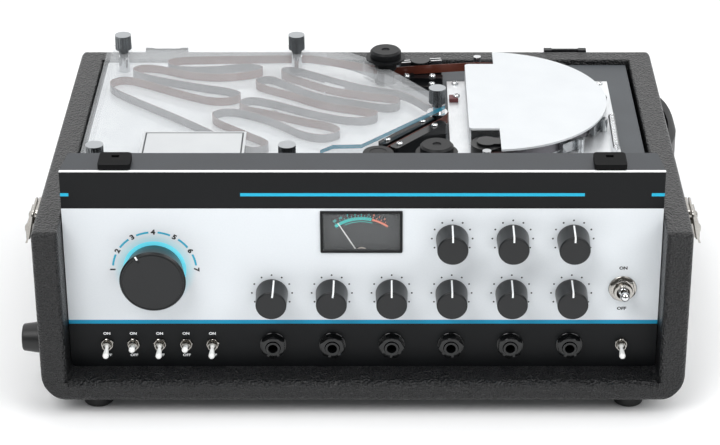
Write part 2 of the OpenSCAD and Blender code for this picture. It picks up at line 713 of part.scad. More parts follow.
module tank_floor() color("#f4f5f6") along_z(deck_z, tray_z) difference() {
    polygon(inset(tank_pts, -floor_edge));
    for (p = thumb_pts) translate(p) circle(post_r + fit);
    translate(rear_c) circle(collar_r + 1);
    on_guide() guide_outline(fit);
}

module tank_cover() color([0.85, 0.92, 0.95, 0.4]) {
    along_z(clear_under, clear_z) difference() {
        polygon(tank_pts);
        for (p = thumb_pts) translate(p) circle(3 + fit);
        translate(rear_c) circle(roller_r + 4);
    }
    along_z(tray_z, clear_under) difference() {
        polygon(tank_pts);
        polygon(inset(tank_pts, clear_t));
        // way for the tape at the back
        translate([-13, 114 + mech_y]) rotate(148) square([36, 11], center = true);
        translate(rear_c) circle(roller_r + 4);
        // no wall from the narrow end along the guide bars
        polygon([[-34, -62 + mech_y], [-34, -44 + mech_y], [-5, -40 + mech_y], [44, 15 + mech_y],
            [44, 30 + mech_y], [64, 30 + mech_y], [64, -62 + mech_y]]);
    }
}

module thumb_screws() color("gainsboro") for (p = thumb_pts) translate([p[0], p[1], clear_z]) {
    neck = 3;
    flutes = 18;
    translate([0, 0, -clear_t]) cylinder(h = clear_t + 1, r = 3);
    cylinder(h = neck, r = 3.6);
    translate([0, 0, neck]) difference() {
        cylinder(h = thumb_h, r = thumb_r);
        for (a = [0:flutes - 1]) rotate([0, 0, a * 360 / flutes])
            translate([thumb_r + 0.25, 0, -1]) cylinder(h = thumb_h, r = 0.6, $fn = 16);
    }
}

// Places of the moving and fixed guides along the tape
high_z = deck_z + tape_z;
low_z = tray_z + 0.3;
arc_c = [87, 28.5 + mech_y];
half_t = tape_t / 2;
rear_c = [15, 90 + mech_y];
front_c = [49.5, -73 + mech_y];
turn_c = [10, -58.3 + mech_y];
pin_c = thumb_pts[4];
pin_post_r = 7.4;
collar_r = 4.5;
turn_post_r = 6;
pull_a = -92;
capstan_c = arc_c + (arc_r + half_t + gap + capstan_r) * [cos(pull_a), sin(pull_a)];
pinch_c = arc_c + (arc_r - half_t - gap - pinch_r) * [cos(pull_a), sin(pull_a)];
cover_posts = [[106, 85 + mech_y], [136, 38 + mech_y], [108, -22 + mech_y]];
roller_z0 = plate_top + 0.3;
roller_top = high_z + tape_w + 15.4;

// Posts of the tank, the guides and the head cover
module deck_posts() color("gainsboro") {
    for (p = thumb_pts) rod(p[0], p[1], deck_z, clear_under, post_r);
    for (c = [rear_c, front_c]) translate([c[0], c[1], deck_z]) {
        cylinder(h = plate_z, r = collar_r);
        cylinder(h = roller_top - deck_z - 2.5, r = 2);
    }
    rod(pin_c[0], pin_c[1], tray_z, high_z + tape_w + 1, pin_post_r);
    translate([turn_c[0], turn_c[1], deck_z]) {
        cylinder(h = tape_z + tape_w + 1, r = turn_post_r);
        translate([0, 0, tape_z + tape_w + 1]) cylinder(h = 3, r = cap_r - 1);
    }
    for (p = cover_posts) rod(p[0], p[1], plate_top, clear_z - cover_t, 3.5);
    translate([83, 112 + mech_y, deck_z]) {
        cylinder(h = 2.5, r1 = 6, r2 = 3.5);
        cylinder(h = clear_z - 3 - deck_z, r = 2.8);
    }
}

// ---- Tape ----

// Path through circles and points: each stop is [centre, turn radius],
// positive where the tape turns left round it and negative where it turns right
function heading(a, b) = let (d = b[0] - a[0]) atan2(d[1], d[0]) - asin((b[1] - a[1]) / norm(d));
function near(from, to) = to + 360 * round((from - to) / 360);
function bend(c, r, h0, h1, step = 12) = let (
    turn = near(0, h1 - h0),
    full = r > 0 ? (turn < 0 ? turn + 360 : turn) : (turn > 0 ? turn - 360 : turn),
    n = max(1, ceil(abs(full) / step)))
    [for (i = [0:n]) let (h = h0 + full * i / n) c + r * [sin(h), -cos(h)]];

// Smooth curve through points, with some steps between each two
function curve(p, steps) = [for (i = [1:len(p) - 3], k = [0:steps - 1]) let (
    t = k / steps, a = p[i - 1], b = p[i], c = p[i + 1], d = p[i + 2])
    (2 * b + (c - a) * t + (2 * a - 5 * b + 4 * c - d) * t * t + (3 * b - a - 3 * c + d) * t * t * t) / 2];

// Loose folds of the tape in the tank, from the narrow end to the way in at the back
folds = [for (p = [[57.5, 19], [52.5, 25.5], [44, 34], [36, 47], [24, 60], [6, 68], [-16, 80], [-36, 94], [-50, 103],
    [-60, 104], [-61, 96], [-46, 84], [-24, 68], [2, 58], [22, 52], [25, 43], [16, 37], [-10, 46], [-36, 58],
    [-56, 76], [-70, 88], [-80, 82], [-74, 72], [-52, 58], [-30, 42], [-6, 33], [9, 26], [4, 16], [-14, 16],
    [-40, 28], [-64, 43], [-82, 50], [-90, 42], [-84, 34], [-68, 27], [-46, 15], [-24, 5], [-17, -6],
    [-28, -14], [-44, -8], [-64, 12], [-84, 26], [-99, 30], [-108, 23], [-103, 11], [-82, -9], [-66, -26],
    [-76, -35], [-90, -25], [-108, -6], [-132, 18], [-160, 44], [-182, 66], [-186, 80], [-176, 87],
    [-158, 78], [-134, 62], [-112, 50], [-96, 50], [-90, 58], [-100, 66], [-122, 74], [-146, 84],
    [-165, 94], [-172, 102], [-165, 109], [-150, 106], [-130, 96], [-106, 92], [-84, 97], [-76, 105],
    [-88, 111], [-112, 106], [-138, 106], [-147, 113], [-138, 120], [-95, 121], [-60, 120.5], [-32, 119.5],
    [-14, 114.5]]) [p[0], p[1] + mech_y]];
r_arc = arc_r;
r_cap = capstan_r + gap + half_t;
r_rol = roller_r + gap + half_t;
r_turn = turn_post_r + gap + half_t;
r_pin = pin_post_r + gap + half_t;
stops = [[arc_c, -r_arc], [capstan_c, r_cap], [front_c, -r_rol], [turn_c, -r_turn], [pin_c, r_pin],
    [folds[1], 0]];
last = [folds[len(folds) - 1], 0];
after = [[rear_c, -r_rol], [arc_c, -r_arc]];
guide_a = heading(stops[3], stops[4]);

free_pts = let (f = concat([folds[0]], folds)) curve(f, 4);
ramp = 20;
function climb(i, n) = let (k = min(i, n - 1 - i)) low_z + (high_z - low_z) * (1 - min(1, k / ramp));
function lift(pts, z) = [for (p = pts) [p[0], p[1], z]];
tape_path = concat(
    lift(bend(arc_c, -r_arc, heading(after[0], after[1]), heading(stops[0], stops[1]), 6), high_z),
    lift(bend(capstan_c, r_cap, heading(stops[0], stops[1]), heading(stops[1], stops[2])), high_z),
    lift(bend(front_c, -r_rol, heading(stops[1], stops[2]), heading(stops[2], stops[3])), high_z),
    lift(bend(turn_c, -r_turn, heading(stops[2], stops[3]), heading(stops[3], stops[4])), high_z),
    lift(bend(pin_c, r_pin, heading(stops[3], stops[4]), heading(stops[4], stops[5])), high_z),
    [for (i = [4:len(free_pts) - 1]) [free_pts[i][0], free_pts[i][1], climb(i, len(free_pts))]],
    lift(bend(rear_c, -r_rol, heading(last, after[0]), heading(after[0], after[1])), high_z));

// Endless tape on its edge, with its least distance to itself printed
module tape_loop() color("#6e4038") {
    n = len(tape_path);
    flat = [for (p = tape_path) [p[0], p[1]]];
    normal = [for (i = [0:n - 1]) let (d = unit(flat[(i + 1) % n] - flat[(i + n - 1) % n])) [-d[1], d[0]]];
    pts = [for (i = [0:n - 1], k = [0:3]) let (
        q = flat[i] + (k % 2 == 0 ? half_t : -half_t) * normal[i])
        [q[0], q[1], tape_path[i][2] + (k > 1 ? tape_w : 0)]];
    // each stretch has four sides of two triangles
    walls = [[0, 1], [1, 3], [3, 2], [2, 0]];
    faces = [for (i = [0:n - 1], w = walls) let (j = (i + 1) % n) each
        [[4 * i + w[0], 4 * i + w[1], 4 * j + w[1]], [4 * i + w[0], 4 * j + w[1], 4 * j + w[0]]]];
    polyhedron(pts, faces);
    apart = 12;
    least = min([for (i = [0:n - 1], j = [i + 1:n - 1])
        if (min(j - i, n + i - j) > apart) norm(flat[i] - flat[j])]) - tape_t;
    echo(tape_points = n, least_gap = least);
}

// Two rails beside the tape on its way to the tank, in a frame that runs along the tape
rail_w = 7;
rail_l = 56;
rail_end = -10;
rail_off = half_t + 1.6 + rail_w / 2;
guide_start = pin_c + r_pin * [sin(guide_a), -cos(guide_a)];
module on_guide() { translate([guide_start[0], guide_start[1], 0]) rotate([0, 0, guide_a]) children(); }

// Both rails and the way between them, made larger all round by a clearance
module guide_outline(more) {
    w = rail_off + rail_w / 2 + more;
    plate2(rail_end - rail_l - more, -w, rail_end + more, w);
}

module guide_bars() color("#191a1b") translate([0, 0, deck_z]) on_guide() for (s = [-1, 1]) {
    top = tape_z + tape_w + 1;
    off = s * rail_off;
    difference() {
        along_z(0, top) plate2(rail_end - rail_l, off - rail_w / 2, rail_end, off + rail_w / 2, [2, 2, 2, 2]);
        for (x = [rail_end - rail_l + 7, rail_end - 10]) rod(x, off, top - 2, top + 1, 1.6);
    }
}

// Erase head behind the tape, with its spring clips, black base and pad tongue in front
erase_a = heading(after[0], after[1]);
erase_c = rear_c + 28 * [cos(erase_a), sin(erase_a)] + r_rol * [-sin(erase_a), cos(erase_a)];

module erase_head() color("#2b2d30") {
    body_z = high_z + tape_w + 1.5;
    along_z(deck_z, plate_top) plate2(27, 81 + mech_y, 57, 117 + mech_y, [2, 2, 2, 2]);
    along_z(plate_top, plate_top + 3) plate2(27, 90 + mech_y, 57, 96.5 + mech_y, [1, 1, 1, 1]);
    translate([erase_c[0], erase_c[1], plate_top]) rotate([0, 0, erase_a]) {
        front = half_t + gap;
        intersection() {
            translate([0, front + 7.2, 0]) cylinder(h = body_z - plate_top, r = 7.2);
            translate([-8, 0, -1]) cube([16, front + 11, 40]);
        }
        for (s = [-1, 1]) translate([s * 11.5 - 4, 0, 0]) {
            translate([0, 3.5, 0]) cube([8, 6.5, body_z - plate_top - 3]);
            for (y = [4, 7.5]) translate([0, y, body_z - plate_top - 3 - e]) cube([8, 1.2, 3]);
        }
    }
    translate([31, 92.5 + mech_y, plate_top + 3]) rotate([0, 0, 38]) box([-1, -1.2, 0], [5.5, 1.2, 1.5]);
}

// ---- Heads ----

module head_plate() color("#d9dcde") translate([0, mech_y, 0]) {
    difference() {
        box([60, -62, plate_top - 2], [178, 91, plate_top]);
        rod(capstan_c[0], capstan_c[1] - mech_y, deck_z - 1, plate_top + 1, capstan_r + 2);
    }
    for (x = [60, 176]) box([x, -62, deck_z], [x + 2, 91, plate_top - 2 + e]);
}

// Sheet over the heads: an arc with a notch at each end of its straight edge
module head_cover() color("#f1f2f4") translate([0, mech_y, 0]) {
    c = [arc_c[0], arc_c[1] - mech_y];
    x0 = 73;
    x1 = 94;
    y0 = -22;
    y1 = 91;
    along_z(clear_z - cover_t, clear_z) difference() {
        intersection() {
            translate(c) circle(cover_r, $fn = 160);
            plate2(x0, c[1] - cover_r, c[0] + cover_r, c[1] + cover_r);
        }
        plate2(x0 - 1, y1, x1, c[1] + cover_r + 1);
        plate2(x0 - 1, c[1] - cover_r - 1, x1, y0);
        translate([x0, y1]) mirror([0, 1]) nick(3);
        translate([x0, y0]) nick(3);
    }
    box([x0, y0 + 3, plate_top], [x0 + cover_t, y1 - 3, clear_z - cover_t + e]);
}

head_angles = [-50, -24, 2, 28, 54];

// Head cans with their curved noses against the tape
module tape_heads() color("#b4b8bb") translate([arc_c[0], arc_c[1], plate_top])
    for (a = head_angles) rotate([0, 0, a]) {
        face = arc_r - half_t - gap;
        can_h = high_z + tape_w + 1.5 - plate_top;
        intersection() {
            translate([face - 14, -6.5, 0]) cube([14, 13, can_h]);
            translate([face - 12, 0, -1]) cylinder(h = can_h + 2, r = 12);
        }
        translate([face - 22, -4, 0]) cube([9, 8, 4]);
    }

// Felt pads on sprung arms outside the tape's arc, each with its pivot post
module pressure_pads() color("#c9ccce") translate([arc_c[0], arc_c[1], plate_top])
    for (a = [for (i = [0:3]) head_angles[i]]) rotate([0, 0, a]) {
        back = arc_r + half_t + gap;
        pad_z = high_z - plate_top;
        translate([back, -3.5, pad_z + 0.5]) cube([2.4, 7, tape_w - 1]);
        translate([back + 2.4, -3.5, pad_z - 1]) cube([1.4, 16, tape_w + 1]);
        translate([back + 6, 11, 0]) cylinder(h = pad_z + tape_w + 1, r = 2.6);
        translate([back + 2.4, 9.5, pad_z - 1]) cube([3, 3, tape_w + 1]);
    }

// Draw spring of the pads between two hooks on the head plate
spring_a = [175.2, 20 + mech_y];
spring_b = [174.4, -36 + mech_y];
spring_r = 2;
wire_r = 0.45;
spring_z = high_z + 3;
spring_l = norm(spring_b - spring_a);
spring_lead = 2;
curl = (spring_l - 2 * spring_lead) / spring_curls;
curl_steps = 8;

// Point of the spring's wire in the spring's own frame, X along it
function coil_x(i, n) = i < 0 ? 0 : (i > n ? spring_l : spring_lead + curl * i / curl_steps);
function coil(i, n) = let (g = 360 * min(max(i, 0), n) / curl_steps)
    [coil_x(i, n), spring_r * cos(g), spring_r * sin(g)];

module pad_spring() color("gainsboro") {
    sides = 6;
    steps = spring_curls * curl_steps;
    path = [for (i = [-1:steps + 1]) coil(i, steps)];
    n = len(path);
    pts = [for (i = [0:n - 1], k = [0:sides - 1]) let (
        d = unit(path[min(i + 1, n - 1)] - path[max(i - 1, 0)]),
        out = [0, path[i][1], path[i][2]],
        u = unit(out - d * (out * d)),
        v = cross(d, u))
        path[i] + wire_r * (cos(60 * k) * u + sin(60 * k) * v)];
    tube = [for (i = [0:n - 2], k = [0:sides - 1]) let (
        a = sides * i + k, b = sides * i + (k + 1) % sides)
        each [[a, b, b + sides], [a, b + sides, a + sides]]];
    ends = [[for (k = [sides - 1:-1:0]) k], [for (k = [0:sides - 1]) sides * (n - 1) + k]];
    dir = spring_b - spring_a;
    translate([spring_a[0], spring_a[1], spring_z]) rotate([0, 0, atan2(dir[1], dir[0])])
        polyhedron(pts, concat(tube, ends));
    echo(spring_least_gap = curl - 2 * wire_r);
}

// ---- Rollers and drive ----

module guide_roller(c) color("#2a2c2e") translate([c[0], c[1], 0]) difference() {
    rotate_extrude() polygon([[0, roller_z0], [roller_r + 2.5, roller_z0], [roller_r + 2.5, roller_z0 + 1],
        [roller_r, high_z - 0.5], [roller_r, high_z + tape_w + 0.5], [roller_r + 2.5, high_z + tape_w + 2.5],
        [roller_r + 2.5, roller_top - 5], [cap_r + 3, roller_top - 5], [cap_r + 3, roller_top - 3.8],
        [cap_r, roller_top - 3.8], [cap_r, roller_top + 0.6], [cap_r - 1.4, roller_top + 2], [3, roller_top + 2],
        [2.6, roller_top + 1.2], [0, roller_top + 1.2]]);
    translate([0, 0, roller_z0 - 1]) cylinder(h = roller_top - 2 - roller_z0 + 1, r = 2 + run);
}

arm_pivot = [102, -38 + mech_y];

module pinch_roller() color("#232425") translate([pinch_c[0], pinch_c[1], 0]) difference() {
    rod(0, 0, high_z - 1.5, high_z + tape_w + 1.5, pinch_r);
    rod(0, 0, high_z - 3, high_z + tape_w + 3, 2 + run);
}

// Arm over the pinch roller, with the roller's pin and the pivot in one piece
module pinch_arm() color("#161718") {
    top = high_z + tape_w + 1.8;
    d = arm_pivot - pinch_c;
    translate([pinch_c[0], pinch_c[1], 0]) {
        rod(0, 0, high_z - 1.8, top + 1, 2);
        rotate([0, 0, atan2(d[1], d[0])]) along_z(top, top + 1.6) union() {
            circle(7);
            translate([norm(d), 0]) circle(5);
            translate([0, -5]) square([norm(d), 10]);
        }
    }
    rod(arm_pivot[0], arm_pivot[1], plate_top + 0.3, top + e, 4);
}

module capstan() color("#a8abad") translate([capstan_c[0], capstan_c[1], 0]) {
    wheel_z = deck_under - 31;
    wheel_t = 12;
    rod(0, 0, wheel_z - 4, high_z + tape_w + 3, capstan_r);
    rotate_extrude($fn = 96) polygon([[0, wheel_z], [flywheel_r - 1, wheel_z], [flywheel_r, wheel_z + 1],
        [flywheel_r, wheel_z + wheel_t - 1], [flywheel_r - 1, wheel_z + wheel_t], [flywheel_r - 6, wheel_z + wheel_t],
        [flywheel_r - 8, wheel_z + wheel_t - 3], [10, wheel_z + wheel_t - 3], [8, wheel_z + wheel_t + 3], [0, wheel_z + wheel_t + 3]]);
}

belt_z = deck_under - 27;
belt_w = 4;
motor_c = capstan_c - [104, 0];
motor_top = deck_under - 35;
motor_h = 46;

// Outline of a belt stretched round the flywheel and the pulley, with an allowance
module belt_outline(grow) {
    r1 = flywheel_r + grow;
    r2 = pulley_r + grow;
    l = norm(capstan_c - motor_c);
    a = acos((r1 - r2) / l);
    translate(capstan_c) {
        circle(r1, $fn = 96);
        translate([-l, 0]) circle(r2);
        polygon([[-r1 * cos(a), r1 * sin(a)], [-l - r2 * cos(a), r2 * sin(a)],
            [-l - r2 * cos(a), -r2 * sin(a)], [-r1 * cos(a), -r1 * sin(a)]]);
    }
}

module drive_belt() color("#141414") along_z(belt_z, belt_z + belt_w) difference() {
    belt_outline(gap + 1.2);
    belt_outline(gap);
}

module motor_pulley() color("#c9a24a") translate([motor_c[0], motor_c[1], 0]) {
    rod(0, 0, motor_top - 8, belt_z + belt_w + 2, 2);
    rotate_extrude() polygon([[0, belt_z - 3], [pulley_r + 2, belt_z - 3], [pulley_r + 2, belt_z - 1.5],
        [pulley_r, belt_z - 0.5], [pulley_r, belt_z + belt_w + 0.5], [pulley_r + 2, belt_z + belt_w + 1.5],
        [pulley_r + 2, belt_z + belt_w + 2.5], [0, belt_z + belt_w + 2.5]]);
}

// Motor hung from the deck by its bracket
module drive_motor() color("#6b6f73") translate([motor_c[0], motor_c[1], 0]) difference() {
    union() {
        rod(0, 0, motor_top - 2 - motor_h, motor_top - 2, motor_r);
        box([-14, -34, motor_top - 2], [14, 34, motor_top]);
        for (s = [-1, 1]) {
            box([-14, s * 33 - 1, motor_top - 2], [14, s * 33 + 1, deck_under]);
            box([-14, min(s * 32, s * 42), deck_under - 2], [14, max(s * 32, s * 42), deck_under]);
        }
    }
    rod(0, 0, motor_top - 12, motor_top + 1, 2 + run);
}

module power_transformer() color("#4a4440") translate([128, 70 + mech_y, floor_z + sheet]) {
    box([-33, -20, 0], [33, 20, 56]);
    box([-20, -28, 9], [20, 28, 47]);
    for (s = [-1, 1]) box([s * 33 - 8, -20, 0], [s * 33 + 8, 20, 2.5]);
}

// Main board on the back of the potentiometers, with its tall capacitors
module circuit_board() color("#2d5a3c") {
    box([col(0) - 14, board_y, floor_z + low_row - 20], [col(5) + 14, board_y + board_t, needle_z - 8]);
    for (i = [0:4]) translate([col(i) + pitch / 2, board_y + board_t, floor_z + low_row]) rotate([-90, 0, 0])
        cylinder(h = 14, r = 4);
}

// ---- Assembly ----

cabinet();
rubber_feet();
carry_handle();
latch_bases();
lid_hinges();
mains_inlet();
chassis_tray();
main_deck();
front_panel();
panel_hood();
lid_catches();
control_bodies();
panel_nuts();
jack_sockets();
meter_case();
meter_window();
meter_needle();
tank_floor();
tank_cover();
thumb_screws();
deck_posts();
tape_loop();
guide_bars();
erase_head();
head_plate();
head_cover();
tape_heads();
pressure_pads();
pad_spring();
drive_motor();
drive_belt();
power_transformer();
circuit_board();
mode_knob();
power_toggle();
latch_lever(-1);  // latch_lever_left
latch_lever(1);  // latch_lever_right
draw_loop(-1);  // draw_loop_left
draw_loop(1);  // draw_loop_right
guide_roller(rear_c);  // rear_roller
guide_roller(front_c);  // front_roller
pinch_roller();
pinch_arm();
capstan();
motor_pulley();
for (i = [0:8]) knob(i);
for (i = [0:5]) toggle(i);
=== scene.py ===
from math import asin, atan2, cos, hypot, pi, radians, sin

import bmesh
import bpy
from mathutils import Matrix, Vector


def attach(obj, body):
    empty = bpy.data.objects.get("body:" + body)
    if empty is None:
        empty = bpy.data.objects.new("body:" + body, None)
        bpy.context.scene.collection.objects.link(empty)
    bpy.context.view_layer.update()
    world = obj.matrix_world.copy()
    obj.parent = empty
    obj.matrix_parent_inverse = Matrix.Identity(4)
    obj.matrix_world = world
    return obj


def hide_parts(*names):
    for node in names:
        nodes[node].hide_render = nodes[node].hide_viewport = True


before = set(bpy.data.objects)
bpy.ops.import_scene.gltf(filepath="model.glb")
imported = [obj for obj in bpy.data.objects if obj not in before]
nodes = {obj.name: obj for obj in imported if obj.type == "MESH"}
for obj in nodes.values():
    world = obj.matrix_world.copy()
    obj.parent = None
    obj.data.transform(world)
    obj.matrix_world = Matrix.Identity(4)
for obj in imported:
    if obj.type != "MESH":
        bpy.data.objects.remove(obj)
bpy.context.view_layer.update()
mm = 0.001
print("frame loaded:", len(nodes), "nodes")


# Camera first: the photograph's own view
camera = {"place": (16, -1537.5, 852), "pitch": 27.0, "lens": 120.35, "shiftX": -0.0375, "shiftY": 0.0}
cameraData = bpy.data.cameras.new("camera")
cameraData.sensor_width = 36
cameraData.lens = camera["lens"]
cameraData.shift_x = camera["shiftX"]
cameraData.shift_y = camera["shiftY"]
cameraData.clip_end = 20
cameraObject = bpy.data.objects.new("camera", cameraData)
cameraObject.location = [v * mm for v in camera["place"]]
cameraObject.rotation_euler = (radians(90 - camera["pitch"]), 0, 0)
bpy.context.scene.collection.objects.link(cameraObject)
bpy.context.scene.camera = cameraObject
print("camera placed")


# Shared tools

def toLinear(hexColor, alpha=1.0):
    parts = [int(hexColor[i:i + 2], 16) / 255 for i in (1, 3, 5)]
    return [p / 12.92 if p <= 0.04045 else ((p + 0.055) / 1.055) ** 2.4 for p in parts] + [alpha]


def addNode(tree, kind, settings=None, links=None):
    node = tree.nodes.new(kind)
    for key, value in (settings or {}).items():
        if hasattr(node, str(key)):
            setattr(node, key, value)
        else:
            node.inputs[key].default_value = value
    for key, source in (links or {}).items():
        tree.links.new(source, node.inputs[key])
    return node


def startMaterial(name, **sockets):
    material = bpy.data.materials.new(name)
    material.use_nodes = True
    tree = material.node_tree
    shader = tree.nodes["Principled BSDF"]
    for key, value in sockets.items():
        shader.inputs[key.replace("_", " ")].default_value = value
    return material, tree, shader


# Grain, cloudy colour and patchy gloss over one base colour. Sizes in mm
def surfaceMaterial(name, color, lighter, roughness, metallic=0.0, grain=0.6, depth=0.03, cloud=25.0,
                    spread=0.08, stretch=(1, 1, 1), **sockets):
    material, tree, shader = startMaterial(name, Metallic=metallic, **sockets)
    place = addNode(tree, "ShaderNodeTexCoord")
    scaled = addNode(tree, "ShaderNodeMapping", {"Scale": stretch}, {"Vector": place.outputs["Object"]})
    clouds = addNode(tree, "ShaderNodeTexNoise", {"Scale": 1 / (cloud * mm), "Detail": 4.0},
                     {"Vector": place.outputs["Object"]})
    fine = addNode(tree, "ShaderNodeTexNoise", {"Scale": 1 / (grain * mm), "Detail": 3.0},
                   {"Vector": scaled.outputs["Vector"]})
    blend = addNode(tree, "ShaderNodeMath", {"operation": "MULTIPLY_ADD", 1: 0.6},
                    {0: fine.outputs["Fac"], 2: clouds.outputs["Fac"]})
    ramp = addNode(tree, "ShaderNodeValToRGB", None, {"Fac": blend.outputs[0]})
    ramp.color_ramp.elements[0].position = 0.45
    ramp.color_ramp.elements[0].color = toLinear(color)
    ramp.color_ramp.elements[1].position = 1.15
    ramp.color_ramp.elements[1].color = toLinear(lighter)
    gloss = addNode(tree, "ShaderNodeMapRange", {"To Min": roughness - spread, "To Max": roughness + spread},
                    {"Value": clouds.outputs["Fac"]})
    bump = addNode(tree, "ShaderNodeBump", {"Strength": 0.6, "Distance": depth * mm},
                   {"Height": fine.outputs["Fac"]})
    tree.links.new(ramp.outputs["Color"], shader.inputs["Base Color"])
    tree.links.new(gloss.outputs["Result"], shader.inputs["Roughness"])
    tree.links.new(bump.outputs["Normal"], shader.inputs["Normal"])
    return material


def makePiece(name, mesh, material, body="unit", smooth=35):
    mesh.materials.clear()
    mesh.materials.append(material)
    piece = bpy.data.objects.new(name, mesh)
    bpy.context.scene.collection.objects.link(piece)
    if smooth:
        for face in mesh.polygons:
            face.use_smooth = True
        mesh.set_sharp_from_angle(angle=radians(smooth))
    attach(piece, body)
    return piece


def dress(nodeName, *materials):
    mesh = nodes[nodeName].data
    for i, material in enumerate(materials):
        if i < len(mesh.materials):
            mesh.materials[i] = material
        else:
            mesh.materials.append(material)


def meshFrom(parts, name="piece"):
    mesh = bpy.data.meshes.new(name)
    vertices, faces = [], []
    for partVertices, partFaces in parts:
        start = len(vertices)
        vertices += [Vector(v) * mm for v in partVertices]
        faces += [[i + start for i in face] for face in partFaces]
    mesh.from_pydata(vertices, [], faces)
    mesh.validate()
    return mesh


# Turned shape round a line through (x, y), from (radius, height) pairs
def turned(profile, x=0.0, y=0.0, segments=48, cut=None):
    vertices, faces = [], []
    for radius, height in profile:
        for k in range(segments):
            angle = 2 * pi * k / segments
            px, py = radius * cos(angle), radius * sin(angle)
            drop = cut(px, py, radius) if cut else 0
            vertices.append((x + px, y + py, height - drop))
    for i in range(len(profile) - 1):
        for k in range(segments):
            a, b = i * segments + k, i * segments + (k + 1) % segments
            faces.append([a, b, b + segments, a + segments])
    faces.append([k for k in range(segments)][::-1])
    faces.append([(len(profile) - 1) * segments + k for k in range(segments)])
    return vertices, faces


# Flat outline in the XY plane pulled up from z0 to z1, with a small chamfer
def plate(outline, z0, z1, chamfer=0.0):
    n = len(outline)
    cx, cy = sum(p[0] for p in outline) / n, sum(p[1] for p in outline) / n
    shrunk = []
    for x, y in outline:
        reach = hypot(x - cx, y - cy) or 1
        shrunk.append((x - (x - cx) / reach * chamfer, y - (y - cy) / reach * chamfer))
    rings = [(outline, z0), (outline, z1 - chamfer), (shrunk, z1)] if chamfer else [(outline, z0), (outline,
        z1)]
    vertices = [(x, y, z) for ring, z in rings for x, y in ring]
    faces = [[i * n + k, i * n + (k + 1) % n, (i + 1) * n + (k + 1) % n, (i + 1) * n + k]
             for i in range(len(rings) - 1) for k in range(n)]
    faces += [list(range(n))[::-1], [(len(rings) - 1) * n + k for k in range(n)]]
    return vertices, faces


def block(low, high, chamfer=0.3):
    outline = [(low[0], low[1]), (high[0], low[1]), (high[0], high[1]), (low[0], high[1])]
    return plate(outline, low[2], high[2], chamfer)


def moved(part, matrix):
    return [matrix @ Vector(v) for v in part[0]], part[1]


# Drawing plane of the front panel: x to the right, y up, z towards the viewer
panelY = -132.0


def onPanel(x, z, turn=0.0):
    return Matrix.Translation((x, panelY, z)) @ Matrix.Rotation(radians(90), 4, "X") @ Matrix.Rotation(turn,
        4, "Z")


def textMesh(words, size, thickness, matrix, name="print", bold=0.03, wide=1.15):
    curve = bpy.data.curves.new(name, "FONT")
    curve.body = words
    curve.size = size
    curve.align_x = "CENTER"
    curve.align_y = "CENTER"
    curve.extrude = thickness / 2
    curve.offset = size * bold
    curve.resolution_u = 4
    holder = bpy.data.objects.new(name, curve)
    bpy.context.scene.collection.objects.link(holder)
    bpy.context.view_layer.update()
    source = bpy.data.meshes.new_from_object(holder.evaluated_get(bpy.context.evaluated_depsgraph_get()))
    stretch = Matrix.Diagonal((wide, 1, 1, 1))
    part = ([matrix @ stretch @ v.co for v in source.vertices], [list(f.vertices) for f in source.polygons])
    bpy.data.objects.remove(holder)
    bpy.data.meshes.remove(source)
    return part


def leathercloth():
    # vinyl leathercloth, embossed with a pebble grain: soft highlights that break up over 1.5 mm pebbles
    material, tree, shader = startMaterial("vinyl leathercloth", Roughness=0.3, Specular_IOR_Level=0.5)
    place = addNode(tree, "ShaderNodeTexCoord")
    wobble = addNode(tree, "ShaderNodeTexNoise", {"Scale": 1 / (4.0 * mm), "Detail": 2.0},
                     {"Vector": place.outputs["Object"]})
    shifted = addNode(tree, "ShaderNodeVectorMath", {"operation": "MULTIPLY_ADD", 1: (0.0012, 0.0012,
        0.0012)},
                      {0: wobble.outputs["Color"], 2: place.outputs["Object"]})
    pebbles = addNode(tree, "ShaderNodeTexVoronoi", {"feature": "SMOOTH_F1", "Scale": 1 / (1.5 * mm),
                                                     "Smoothness": 0.5},
                      {"Vector": shifted.outputs["Vector"]})
    creases = addNode(tree, "ShaderNodeTexNoise", {"Scale": 1 / (0.8 * mm), "Detail": 3.0},
                      {"Vector": place.outputs["Object"]})
    height = addNode(tree, "ShaderNodeMath", {"operation": "MULTIPLY_ADD", 1: 0.45},
                     {0: creases.outputs["Fac"], 2: pebbles.outputs["Distance"]})
    # painted shade and light: the colour follows the embossed height, darker in the hollows and lighter on
    # the raised grain
    ramp = addNode(tree, "ShaderNodeValToRGB", None, {"Fac": height.outputs[0]})
    ramp.color_ramp.elements[0].position = 0.25
    ramp.color_ramp.elements[0].color = toLinear("#020203")
    ramp.color_ramp.elements[1].position = 0.85
    ramp.color_ramp.elements[1].color = toLinear("#111214")
    bump = addNode(tree, "ShaderNodeBump", {"Strength": 1.0, "Distance": 1.5 * mm},
                   {"Height": height.outputs[0]})
    tree.links.new(ramp.outputs["Color"], shader.inputs["Base Color"])
    tree.links.new(bump.outputs["Normal"], shader.inputs["Normal"])
    return material


# Between two heights, as 1 or 0
def band(tree, value, low, high):
    above = addNode(tree, "ShaderNodeMath", {"operation": "GREATER_THAN", 1: low * mm}, {0: value})
    below = addNode(tree, "ShaderNodeMath", {"operation": "LESS_THAN", 1: high * mm}, {0: value})
    return addNode(tree, "ShaderNodeMath", {"operation": "MULTIPLY"}, {0: above.outputs[0],
        1: below.outputs[0]})


panelPrint = {
    "black": "#0D0F11", "white": "#E4E8EB", "blue": "#27B2D6", "blueDark": "#1590B8", "edge": "#F5F6F6",
    "topBand": (146.1, 172.4), "lowBand": (20, 59.9), "lowLine": (59.9, 62.8), "topLine": (155.0, 157.3),
    "halo": "#B9EEF9", "haloFrom": 20.5, "haloTo": 28.5,
    "lineRuns": [(-197.5, -191.6), (-79.7, 144.9), (188.5, 197.5)],
}


